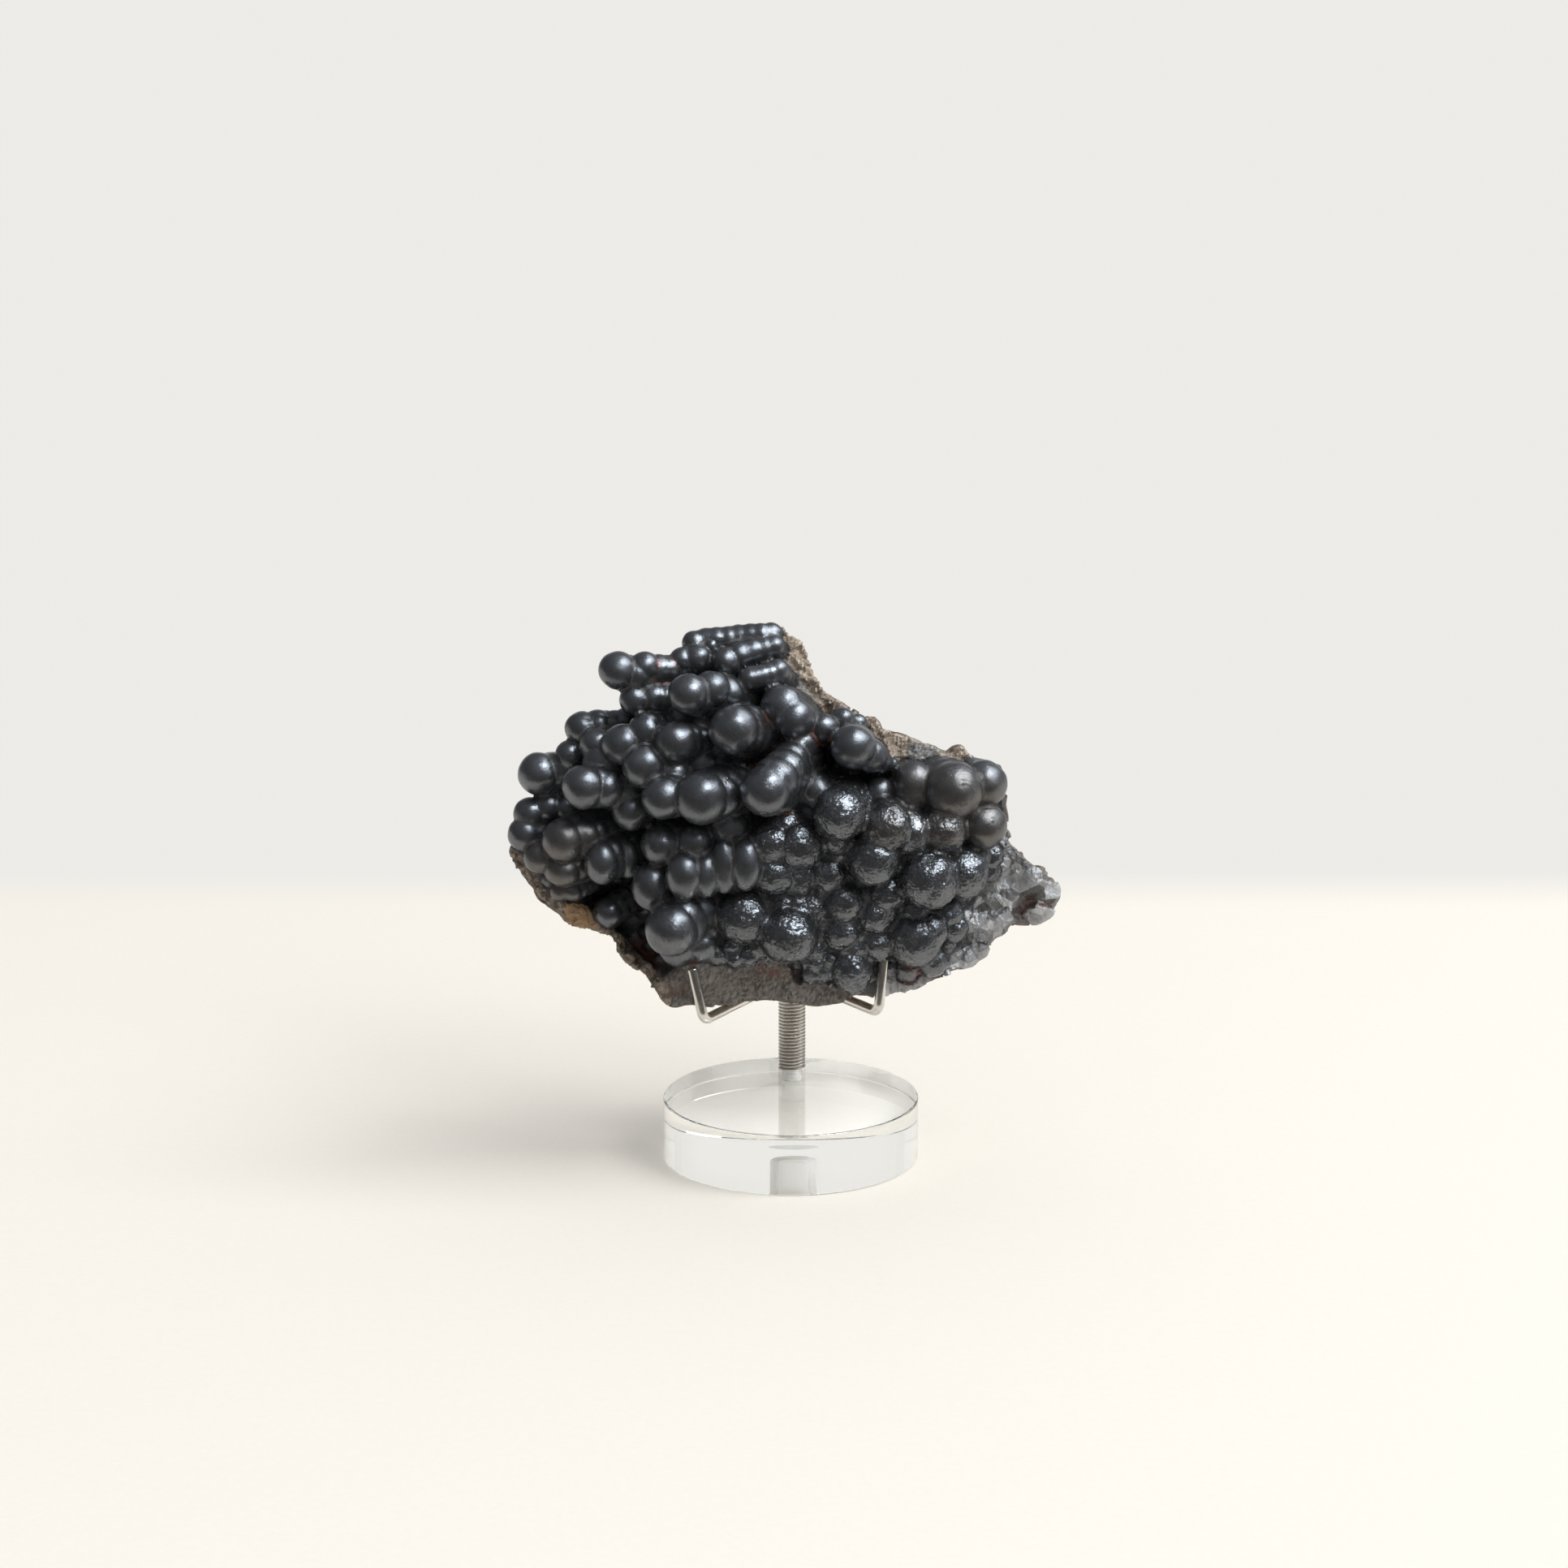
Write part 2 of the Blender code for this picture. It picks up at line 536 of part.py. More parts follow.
def add_bubble(stone, bubble):
    """Add one bubble and the stalk that it grew on, which runs back toward the growth centre."""
    middle = along_sight(bubble.x, bubble.z, bubble.depth)
    stretch = Matrix.Diagonal((1.0, 1.0, bubble.tall, 1.0))
    bmesh.ops.create_icosphere(stone, subdivisions=3, radius=bubble.radius,
                               matrix=Matrix.Translation(middle) @ stretch)
    direction = (GROWTH_CENTRE - middle).normalized()
    turn = direction.to_track_quat("Z", "Y").to_matrix().to_4x4()
    free = bubble.depth >= FREE_DEPTH
    length = FREE_STALK_LENGTH if free else STALK_LENGTH
    flare = STALK_NECK if free else STALK_FLARE
    halfway = middle + direction * (length / 2)
    bmesh.ops.create_cone(stone, cap_ends=True, cap_tris=False, segments=STALK_SIDES,
                          radius1=bubble.radius * STALK_NECK, radius2=bubble.radius * flare,
                          depth=length, matrix=Matrix.Translation(halfway) @ stretch @ turn)


def ground_depths(spots):
    """Depth of the ground between the bubbles, from the readings near each spot, deep ones first."""
    readings = [(b.x, b.z, b.depth + GROUND_RECESS) for b in BUBBLES]
    readings += list(HOLLOWS) + list(BROKEN_GROUND)
    readings = np.array(readings, dtype=float)
    away = ((spots[:, None, :] - readings[None, :, :2]) ** 2).sum(axis=2)
    weight = np.exp(readings[:, 2] / DEEP_PULL) / (away + 1.0) ** 2
    return (weight * readings[:, 2]).sum(axis=1) / weight.sum(axis=1)


def rim_distance(spots):
    """Distance of each spot to the plate's edge, and whether it lies inside."""
    rim = np.array(RIM)
    nearest = np.full(len(spots), 1e9)
    inside = np.zeros(len(spots), dtype=bool)
    for start, end in zip(rim, np.roll(rim, -1, axis=0)):
        side = end - start
        share = np.clip(((spots - start) @ side) / (side @ side), 0.0, 1.0)
        nearest = np.minimum(nearest, np.linalg.norm(spots - start - share[:, None] * side, axis=1))
        crosses = (start[1] > spots[:, 1]) != (end[1] > spots[:, 1])
        rise = side[1] if side[1] else 1e-9
        crosses &= spots[:, 0] < start[0] + side[0] * (spots[:, 1] - start[1]) / rise
        inside ^= crosses
    return nearest, inside


def add_plate(stone):
    """Add the plate that the bubbles grow from: a relief front, a short edge and a rounded back."""
    rim = np.array(RIM)
    low, high = rim.min(axis=0), rim.max(axis=0)
    xs = np.arange(low[0], high[0], GROUND_STEP)
    zs = np.arange(low[1], high[1], GROUND_STEP)
    grid = np.array([(x, z) for x in xs for z in zs])
    away, inside = rim_distance(grid)
    grid = grid[inside & (away > GROUND_STEP * RIM_MARGIN)]
    spots = np.vstack([rim, grid])
    rim_loop = list(range(len(RIM)))
    flat, _, triangles, *_ = delaunay_2d_cdt([Vector(spot) for spot in spots], [], [rim_loop], 1, 1e-6)
    spots = np.array([tuple(spot) for spot in flat])
    away, _ = rim_distance(spots)
    front = ground_depths(spots)
    share = 1.0 - np.clip(away / BACK_ROUNDING, 0.0, 1.0)
    deepest = back_depth(spots[:, 0], spots[:, 1])
    back = front + RIM_WALL + np.maximum(deepest - front - RIM_WALL, 0.0) * np.sqrt(1.0 - share ** 2)
    front_verts = [stone.verts.new(along_sight(x, z, y)) for (x, z), y in zip(spots, front)]
    back_verts = []
    for (x, z), y in zip(spots, back):
        point = along_sight(x, z, y)
        point.z = max(point.z, UNDERSIDE_LEVEL)
        back_verts.append(stone.verts.new(point))
    uses = {}
    for corners in triangles:
        stone.faces.new([front_verts[corner] for corner in corners])
        stone.faces.new([back_verts[corner] for corner in reversed(corners)])
        for first, second in zip(corners, corners[1:] + corners[:1]):
            uses[(first, second)] = True
    for first, second in uses:
        if (second, first) not in uses:
            stone.faces.new((front_verts[second], front_verts[first],
                             back_verts[first], back_verts[second]))


def largest_body(mesh):
    """Keep the mesh's biggest connected body."""
    grown = bmesh.new()
    grown.from_mesh(mesh)
    unseen = set(grown.verts)
    bodies = []
    while unseen:
        body = {unseen.pop()}
        edge_of_body = list(body)
        while edge_of_body:
            vert = edge_of_body.pop()
            for edge in vert.link_edges:
                other = edge.other_vert(vert)
                if other in unseen:
                    unseen.remove(other)
                    body.add(other)
                    edge_of_body.append(other)
        bodies.append(body)
    bodies.sort(key=len)
    loose = [vert for body in bodies[:-1] for vert in body]
    bmesh.ops.delete(grown, geom=loose, context="VERTS")
    grown.to_mesh(mesh)
    grown.free()


def make_hematite(parts):
    """Grow the stone as one closed body: the plate, its stalks and its bubbles run together."""
    stone = bmesh.new()
    for bubble in BUBBLES:
        add_bubble(stone, bubble)
    add_plate(stone)
    bmesh.ops.scale(stone, vec=(MM, MM, MM), verts=stone.verts)
    mesh = bpy.data.meshes.new("stone parts")
    stone.to_mesh(mesh)
    stone.free()
    lumps = mesh_object("stone lumps", mesh, parts)
    fused = lumps.modifiers.new("fused", "REMESH")
    fused.mode = "VOXEL"
    fused.voxel_size = VOXEL
    fused.adaptivity = 0.0
    skin = evaluated_mesh(lumps)
    bpy.data.objects.remove(lumps)
    largest_body(skin)
    hematite = mesh_object("hematite", skin, parts)
    fewer = hematite.modifiers.new("fewer faces", "DECIMATE")
    fewer.ratio = STONE_TRIANGLES / (2 * len(skin.polygons))
    add_material(hematite, (0.075, 0.078, 0.082), 0.33, 0.85)
    shade(hematite, 60.0)


def main():
    """Clear the scene and build the stone and its stand."""
    for obj in list(bpy.data.objects):
        bpy.data.objects.remove(obj, do_unlink=True)
    parts = bpy.data.collections.new("botryoidal hematite on stand")
    cutters = bpy.data.collections.new("cutters")
    bpy.context.scene.collection.children.link(parts)
    bpy.context.scene.collection.children.link(cutters)
    make_base_disc(parts, cutters)
    make_post(parts)
    make_hub(parts, cutters)
    make_arms(parts)
    make_hematite(parts)
    for cutter in cutters.objects:
        cutter.hide_render = True
        cutter.display_type = "WIRE"


main()
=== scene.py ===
# %% [markdown]
# # A plate of botryoidal hematite on its stand
# Hematite that grows freely in a cavity makes kidney-shaped, near-black bubbles with a steely
# gloss. This one is a broken plate of such bubbles. It leans in four wire arms on a threaded post
# over a clear acrylic disc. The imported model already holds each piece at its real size. This
# lesson keeps those places and gives every piece its real surface.

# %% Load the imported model
import math
from collections import namedtuple

import bmesh
import bpy
import numpy as np
from mathutils import Matrix, Vector, noise


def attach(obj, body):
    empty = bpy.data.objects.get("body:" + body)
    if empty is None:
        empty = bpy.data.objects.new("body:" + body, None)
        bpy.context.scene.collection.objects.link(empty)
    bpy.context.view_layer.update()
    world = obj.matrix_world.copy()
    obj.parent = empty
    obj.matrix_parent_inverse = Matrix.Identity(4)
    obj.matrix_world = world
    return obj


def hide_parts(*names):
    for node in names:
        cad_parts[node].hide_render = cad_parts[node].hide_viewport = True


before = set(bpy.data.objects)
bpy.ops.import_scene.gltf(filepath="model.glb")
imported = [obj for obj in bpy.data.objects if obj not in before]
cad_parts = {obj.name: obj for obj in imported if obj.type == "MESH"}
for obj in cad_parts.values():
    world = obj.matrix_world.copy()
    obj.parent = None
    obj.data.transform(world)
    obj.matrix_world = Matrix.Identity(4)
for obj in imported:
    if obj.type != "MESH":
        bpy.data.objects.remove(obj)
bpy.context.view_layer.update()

MM = 0.001
print("solids:", ", ".join(sorted(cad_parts)))

# %% [markdown]
# ## The camera
# The picture was taken from a little above, close to the middle, with a moderate tele lens. The
# disc's two rims are circles, so their ellipses in the picture tell the tilt and the distance.
# A camera object needs a place, a turn about X and a focal length, and nothing else here.

# %% Camera at the picture's viewing angle
CAMERA_PLACE = (-2.0 * MM, -784.1 * MM, 271.2 * MM)
CAMERA_TILT = 11.54
FOCAL_LENGTH = 63.84
SENSOR = 36.0

lens = bpy.data.cameras.new("camera")
lens.lens = FOCAL_LENGTH
lens.sensor_width = SENSOR
lens.clip_start = 0.01
camera = bpy.data.objects.new("camera", lens)
camera.location = CAMERA_PLACE
camera.rotation_euler = (math.radians(90.0 - CAMERA_TILT), 0.0, 0.0)
bpy.context.scene.collection.objects.link(camera)
bpy.context.scene.camera = camera
print("camera stands", round(Vector(CAMERA_PLACE).length, 3), "m from the disc")

# %% [markdown]
# ## Helpers for nodes and pieces
# A material is a small graph. Writing it node by node is long, so one helper adds a node, sets its
# values and joins its sockets. A second one puts a finished mesh in the scene, hangs it under the
# root body and hides the solid that it replaces.

# %% Node and piece helpers
def add_node(tree, kind, inputs=None, **settings):
    """Add a node, set its options, and set or join its inputs."""
    made = tree.nodes.new(kind)
    for name, value in settings.items():
        setattr(made, name, value)
    for name, value in (inputs or {}).items():
        if isinstance(value, bpy.types.NodeSocket):
            tree.links.new(value, made.inputs[name])
        else:
            made.inputs[name].default_value = value
    return made


def mixed(tree, share, first, second, blend="MIX"):
    """Mix two colours by a share and return the colour socket."""
    made = add_node(tree, "ShaderNodeMix", data_type="RGBA", blend_type=blend)
    for index, value in ((0, share), (6, first), (7, second)):
        if isinstance(value, bpy.types.NodeSocket):
            tree.links.new(value, made.inputs[index])
        elif index == 0:
            made.inputs[index].default_value = value
        else:
            made.inputs[index].default_value = (*value, 1.0)
    return made.outputs[2]


def maths(tree, operation, first, second):
    """One step of arithmetic on values."""
    return add_node(tree, "ShaderNodeMath", {0: first, 1: second}, operation=operation).outputs[0]


def remapped(tree, value, low, high, to_low, to_high):
    """Stretch a value from one range to another, held at both ends."""
    made = add_node(tree, "ShaderNodeMapRange", {"Value": value, "From Min": low,
                    "From Max": high, "To Min": to_low, "To Max": to_high})
    return made.outputs[0]


def new_material(name):
    """A new material with its shader, its output and its Object coordinates."""
    material = bpy.data.materials.new(name)
    material.use_nodes = True
    tree = material.node_tree
    shader = tree.nodes["Principled BSDF"]
    place = add_node(tree, "ShaderNodeTexCoord").outputs["Object"]
    return material, tree, shader, place


def add_piece(name, mesh, node, material):
    """Put a finished mesh in the scene in place of its solid."""
    mesh.name = name
    mesh.materials.clear()
    mesh.materials.append(material)
    piece = bpy.data.objects.new(name, mesh)
    bpy.context.scene.collection.objects.link(piece)
    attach(piece, "root")
    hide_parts(node)
    print(name, "has", sum(len(face.vertices) - 2 for face in mesh.polygons), "triangles")
    return piece


def finished_mesh(bm, name, angle=35.0):
    """Turn a bmesh into a mesh with its curved faces smooth and its real edges sharp."""
    bmesh.ops.recalc_face_normals(bm, faces=bm.faces)
    mesh = bpy.data.meshes.new(name)
    bm.to_mesh(mesh)
    bm.free()
    mesh.shade_smooth()
    mesh.set_sharp_from_angle(angle=math.radians(angle))
    return mesh


def evaluated_mesh(obj):
    """The object's mesh with its modifiers applied. The object itself is removed."""
    bpy.context.view_layer.update()
    graph = bpy.context.evaluated_depsgraph_get()
    mesh = bpy.data.meshes.new_from_object(obj.evaluated_get(graph))
    bpy.data.objects.remove(obj)
    return mesh


def loose_object(name, mesh):
    """An object that is only needed while a piece is being made."""
    obj = bpy.data.objects.new(name, mesh)
    bpy.context.scene.collection.objects.link(obj)
    return obj


# %% [markdown]
# ## The clear disc
# The base is a slice of clear acrylic with a polished rim and a blind hole, drilled from above, for
# the post's spigot. A cone tool with equal radii gives the slice, a bevel gives the polished edge,
# and a Boolean cuts the hole, whose bottom is rounded by the drill.

# %% Disc and hole
DISC_RADIUS = 37.5 * MM
DISC_THICKNESS = 17.7 * MM
DISC_EDGE = 0.45 * MM
DISC_SIDES = 192
POST_X = 0.4 * MM
POST_Y = 26.6 * MM
HOLE_RADIUS = 3.0 * MM
HOLE_DEPTH = 14.7 * MM
HOLE_ROUNDING = 1.6 * MM
HOLE_SIDES = 64
EDGE_STEPS, ROUNDING_STEPS = 3, 8
CLEAR_ANGLE = 12.0


def upright(bm, radius, bottom, top, sides, x=0.0, y=0.0):
    """Add an upright closed cylinder between two levels."""
    middle = Matrix.Translation((x, y, (bottom + top) / 2))
    return bmesh.ops.create_cone(bm, cap_ends=True, cap_tris=False, segments=sides, radius1=radius,
                                 radius2=radius, depth=top - bottom, matrix=middle)["verts"]


def bevel_rims(bm, levels, width, segments):
    """Bevel the round edges that lie at the given levels."""
    rims = [edge for edge in bm.edges
            if any(all(abs(vert.co.z - level) < 0.01 * MM for vert in edge.verts)
                   for level in levels)]
    bmesh.ops.bevel(bm, geom=rims, offset=width, offset_type="OFFSET", segments=segments,
                    profile=0.5, affect="EDGES", material=-1)


def cut_from(mesh, cutter, name, angle=35.0):
    """Cut the cutter's mesh out of a mesh, and keep edges sharper than the angle sharp."""
    body = loose_object(name, mesh)
    tool = loose_object(name + " cutter", cutter)
    boolean = body.modifiers.new("cut", "BOOLEAN")
    boolean.operation = "DIFFERENCE"
    boolean.solver = "EXACT"
    boolean.object = tool
    result = evaluated_mesh(body)
    bpy.data.objects.remove(tool)
    result.shade_smooth()
    result.set_sharp_from_angle(angle=math.radians(angle))
    return result


disc = bmesh.new()
upright(disc, DISC_RADIUS, 0.0, DISC_THICKNESS, DISC_SIDES)
bevel_rims(disc, (0.0, DISC_THICKNESS), DISC_EDGE, EDGE_STEPS)
drill = bmesh.new()
hole_bottom = DISC_THICKNESS - HOLE_DEPTH
upright(drill, HOLE_RADIUS, hole_bottom, DISC_THICKNESS + MM, HOLE_SIDES, POST_X, POST_Y)
bevel_rims(drill, (hole_bottom,), HOLE_ROUNDING, ROUNDING_STEPS)
disc_mesh = cut_from(finished_mesh(disc, "disc"), finished_mesh(drill, "drill"), "disc",
                     CLEAR_ANGLE)
print("hole ends", round(hole_bottom / MM, 1), "mm above the table")

# %% [markdown]
# Acrylic is a plain clear glass with a lower refraction. The hole's wall was left as the drill cut
# it, so it is frosted: the roughness rises there, chosen by the distance from the hole's axis. A
# few hair scratches from wiping keep the polished faces from looking computed. Absorption is set on
# the volume and is very weak, as good acrylic has only a trace of green-grey in its depth.

# %% Acrylic material
ACRYLIC_IOR = 1.49
ACRYLIC_DENSITY = 1.2
HAIR_SCRATCHES = 0.035
WIPED_ALONG = (30.0, 900.0, 30.0)
FROST_ROUGHNESS = 0.6
FROST_TINT = (0.86, 0.86, 0.85)
ACRYLIC_DEPTH_TINT = (0.90, 0.96, 0.94, 1.0)
acrylic, tree, shader, place = new_material("clear acrylic")
shader.inputs["Transmission Weight"].default_value = 1.0
shader.inputs["IOR"].default_value = ACRYLIC_IOR
shader.inputs["Metallic"].default_value = 0.0
centred = add_node(tree, "ShaderNodeMapping", {"Vector": place,
                   "Location": (-POST_X, -POST_Y, 0.0)}).outputs["Vector"]
flat = add_node(tree, "ShaderNodeVectorMath", {0: centred, 1: (1.0, 1.0, 0.0)},
                operation="MULTIPLY").outputs["Vector"]
from_axis = add_node(tree, "ShaderNodeVectorMath", {0: flat}, operation="LENGTH").outputs["Value"]
drilled = remapped(tree, from_axis, HOLE_RADIUS + 0.1 * MM, HOLE_RADIUS + 0.4 * MM, 1.0, 0.0)
above = add_node(tree, "ShaderNodeSeparateXYZ", {"Vector": place}).outputs["Z"]
under_face = remapped(tree, above, DISC_THICKNESS - 0.3 * MM, DISC_THICKNESS - 0.05 * MM, 1.0, 0.0)
frosted = maths(tree, "MULTIPLY", drilled, under_face)
wiping = add_node(tree, "ShaderNodeMapping", {"Vector": place, "Scale": WIPED_ALONG,
                  "Rotation": (0.0, 0.0, 0.4)}).outputs["Vector"]
hairs = add_node(tree, "ShaderNodeTexNoise", {"Vector": wiping, "Scale": 1.0,
                 "Detail": 3.0}).outputs["Fac"]
scratched = remapped(tree, hairs, 0.62, 0.72, 0.0, HAIR_SCRATCHES)
roughness = maths(tree, "ADD", scratched, maths(tree, "MULTIPLY", frosted, FROST_ROUGHNESS))
tree.links.new(roughness, shader.inputs["Roughness"])
tint = mixed(tree, frosted, (1.0, 1.0, 1.0), FROST_TINT)
tree.links.new(tint, shader.inputs["Base Color"])
absorbing = add_node(tree, "ShaderNodeVolumeAbsorption")
absorbing.inputs["Color"].default_value = ACRYLIC_DEPTH_TINT
absorbing.inputs["Density"].default_value = ACRYLIC_DENSITY
tree.links.new(absorbing.outputs["Volume"], tree.nodes["Material Output"].inputs["Volume"])
add_piece("clear_disc", disc_mesh, "base_disc", acrylic)

# %% [markdown]
# ## The steel parts
# The post is a fine-threaded rod, the hub is a turned collar, and the arms are bent wire with a
# satin nickel look. They share one effect: fine marks that run along the work's direction. That
# effect is a node group, built once, with the direction given by how much each axis is stretched.

# %% Satin marks, a shared node group
def make_satin_marks():
    """A group that puts out brushed roughness, a tint and a height."""
    group = bpy.data.node_groups.new("satin marks", "ShaderNodeTree")
    sides = group.interface
    sides.new_socket("Vector", in_out="INPUT", socket_type="NodeSocketVector")
    for name, value in (("Low", 0.2), ("High", 0.3)):
        sides.new_socket(name, in_out="INPUT", socket_type="NodeSocketFloat").default_value = value
    sides.new_socket("Roughness", in_out="OUTPUT", socket_type="NodeSocketFloat")
    sides.new_socket("Tint", in_out="OUTPUT", socket_type="NodeSocketColor")
    sides.new_socket("Height", in_out="OUTPUT", socket_type="NodeSocketFloat")
    given = group.nodes.new("NodeGroupInput").outputs
    marks = add_node(group, "ShaderNodeTexNoise", {"Vector": given["Vector"], "Scale": 1.0,
                     "Detail": 5.0, "Roughness": 0.6}).outputs["Fac"]
    clouds = add_node(group, "ShaderNodeTexNoise", {"Vector": given["Vector"], "Scale": 0.15,
                      "Detail": 2.0}).outputs["Fac"]
    blended = maths(group, "ADD", maths(group, "MULTIPLY", marks, 0.6),
                    maths(group, "MULTIPLY", clouds, 0.4))
    spread = add_node(group, "ShaderNodeMapRange", {"Value": blended, "From Min": 0.35,
                      "From Max": 0.65, "To Min": given["Low"], "To Max": given["High"]})
    tint = mixed(group, clouds, (0.98, 0.98, 0.98), (0.90, 0.885, 0.86))
    result = group.nodes.new("NodeGroupOutput").inputs
    group.links.new(spread.outputs[0], result["Roughness"])
    group.links.new(tint, result["Tint"])
    group.links.new(marks, result["Height"])
    return group


SATIN_MARKS = make_satin_marks()


def steel(name, colour, stretch, low, high, height):
    """A metal with fine marks, stretched along the direction that it was worked in."""
    material, tree, shader, place = new_material(name)
    shader.inputs["Metallic"].default_value = 1.0
    worked = add_node(tree, "ShaderNodeMapping", {"Vector": place, "Scale": stretch})
    marks = add_node(tree, "ShaderNodeGroup", node_tree=SATIN_MARKS)
    tree.links.new(worked.outputs["Vector"], marks.inputs["Vector"])
    marks.inputs["Low"].default_value = low
    marks.inputs["High"].default_value = high
    base = mixed(tree, 1.0, marks.outputs["Tint"], colour, "MULTIPLY")
    tree.links.new(base, shader.inputs["Base Color"])
    tree.links.new(marks.outputs["Roughness"], shader.inputs["Roughness"])
    bump = add_node(tree, "ShaderNodeBump", {"Height": marks.outputs["Height"],
                    "Strength": 0.3, "Distance": height})
    tree.links.new(bump.outputs["Normal"], shader.inputs["Normal"])
    return material


ROD_STEEL = steel("rod steel", (0.58, 0.555, 0.52), (400.0, 400.0, 900.0), 0.14, 0.24,
                  0.004 * MM)
HUB_STEEL = steel("hub steel", (0.62, 0.60, 0.57), (500.0, 500.0, 6000.0), 0.24, 0.38,
                  0.02 * MM)
WIRE_NICKEL = steel("wire nickel", (0.74, 0.715, 0.68), (2500.0, 2500.0, 700.0), 0.16, 0.28,
                    0.01 * MM)
print("steel finishes:", ROD_STEEL.name, HUB_STEEL.name, WIRE_NICKEL.name)

# %% [markdown]
# ## The threaded post
# A thread is one tooth's outline carried round the rod while it climbs by one pitch a turn. The spin
# operator does exactly that when it is given a small shift for each step. The ends of such a screw
# are ragged, so two planes cut it to length, and the flat faces come from filling the cuts. The
# spigot that sits in the disc's hole is pulled out of the lower face.

# %% Post
THREAD_RADIUS = 4.15 * MM
THREAD_DEPTH = 0.55 * MM
THREAD_PITCH = 1.05 * MM
THREAD_STEPS = 40
POST_FOOT = 18.0 * MM
POST_TOP = 43.1 * MM
SPIGOT_RADIUS = 2.7 * MM
SPIGOT_LENGTH = 3.0 * MM
FOOT_INSET = 0.6 * MM
WELD_REACH = 0.005 * MM
TOOTH = ((0.0, 1.0), (0.12, 0.95), (0.28, 0.12), (0.36, 0.0), (0.64, 0.0), (0.72, 0.12),
         (0.88, 0.95), (1.0, 1.0))


def cut_flat(bm, level, upward):
    """Cut everything beyond a level away and close the cut with one face."""
    geometry = bm.verts[:] + bm.edges[:] + bm.faces[:]
    result = bmesh.ops.bisect_plane(bm, geom=geometry, dist=0.001 * MM, plane_co=(0.0, 0.0, level),
                                    plane_no=(0.0, 0.0, 1.0 if upward else -1.0), clear_outer=True)
    rim = [part for part in result["geom_cut"] if isinstance(part, bmesh.types.BMEdge)]
    return bmesh.ops.contextual_create(bm, geom=rim)["faces"]


post = bmesh.new()
low_end = POST_FOOT - 2 * THREAD_PITCH
outline = [post.verts.new((THREAD_RADIUS - depth * THREAD_DEPTH, 0.0, low_end + share * THREAD_PITCH))
           for share, depth in TOOTH]
edges = [post.edges.new(pair) for pair in zip(outline, outline[1:])]
turns = math.ceil((POST_TOP - low_end) / THREAD_PITCH) + 1
bmesh.ops.spin(post, geom=outline + edges, cent=(0.0, 0.0, 0.0), axis=(0.0, 0.0, 1.0),
               dvec=(0.0, 0.0, THREAD_PITCH / THREAD_STEPS), angle=math.tau * turns,
               steps=THREAD_STEPS * turns)
bmesh.ops.remove_doubles(post, verts=post.verts, dist=WELD_REACH)
cut_flat(post, POST_TOP, True)
foot = cut_flat(post, POST_FOOT, False)
bmesh.ops.inset_region(post, faces=foot, thickness=FOOT_INSET, use_even_offset=False)
inner = foot[0]
for vert in inner.verts:
    radial = Vector((vert.co.x, vert.co.y, 0.0)).normalized() * SPIGOT_RADIUS
    vert.co.x, vert.co.y = radial.x, radial.y
spigot = bmesh.ops.extrude_face_region(post, geom=[inner])["geom"]
bmesh.ops.translate(post, vec=(0.0, 0.0, -SPIGOT_LENGTH),
                    verts=[part for part in spigot if isinstance(part, bmesh.types.BMVert)])
bmesh.ops.delete(post, geom=[inner], context="FACES")
bmesh.ops.translate(post, vec=(POST_X, POST_Y, 0.0), verts=post.verts)
print("open edges on the post:", sum(not edge.is_manifold for edge in post.edges))
add_piece("threaded_post", finished_mesh(post, "post", 40.0), "post", ROD_STEEL)

# %% [markdown]
# ## The hub
# The collar is a cylinder with turned, slightly rounded edges, bored for the post and drilled for
# the four arms. It is hidden from the front, but from behind it is in plain sight, so it is cut
# the way a workshop would cut it.

# %% Hub
HUB_RADIUS = 7.0 * MM
HUB_BOTTOM = 40.4 * MM
HUB_TOP = 50.0 * MM
HUB_EDGE = 0.5 * MM
HUB_SIDES, BORE_SIDES = 96, 48
HUB_EDGE_STEPS = 4
GAP = 0.3 * MM
WIRE_RADIUS = 1.5 * MM
WIRE_SIDES = 32
ARM_LEVEL = 46.4 * MM
ARM_START = 3.0 * MM
FRONT_LEFT_CORNER = Vector((-24.9, -20.3))
FRONT_RIGHT_CORNER = Vector((25.2, -12.2))
REAR_LEFT_CORNER = Vector((-21.0, 35.0))
REAR_RIGHT_CORNER = Vector((24.0, 34.5))
HUB_MIDDLE = Vector((POST_X, POST_Y, ARM_LEVEL))


def knee_of(corner):
    """The point where an arm turns up, in metres."""
    return Vector((corner.x * MM, corner.y * MM, ARM_LEVEL))


hub = bmesh.new()
upright(hub, HUB_RADIUS, HUB_BOTTOM, HUB_TOP, HUB_SIDES, POST_X, POST_Y)
bevel_rims(hub, (HUB_BOTTOM, HUB_TOP), HUB_EDGE, HUB_EDGE_STEPS)
tools = bmesh.new()
upright(tools, THREAD_RADIUS + GAP, HUB_BOTTOM - MM, POST_TOP + GAP, BORE_SIDES, POST_X, POST_Y)
bore = WIRE_RADIUS + GAP / 2
for corner in (FRONT_LEFT_CORNER, FRONT_RIGHT_CORNER, REAR_LEFT_CORNER, REAR_RIGHT_CORNER):
    outward = (knee_of(corner) - HUB_MIDDLE).normalized()
    reach = HUB_RADIUS + MM - ARM_START
    middle = Matrix.Translation(HUB_MIDDLE + outward * (ARM_START + reach / 2))
    bmesh.ops.create_cone(tools, cap_ends=True, cap_tris=False, segments=WIRE_SIDES, depth=reach,
                          radius1=bore, radius2=bore,
                          matrix=middle @ outward.to_track_quat("Z", "Y").to_matrix().to_4x4())
hub_mesh = cut_from(finished_mesh(hub, "hub"), finished_mesh(tools, "hub tools"), "hub")
add_piece("hub_collar", hub_mesh, "hub", HUB_STEEL)

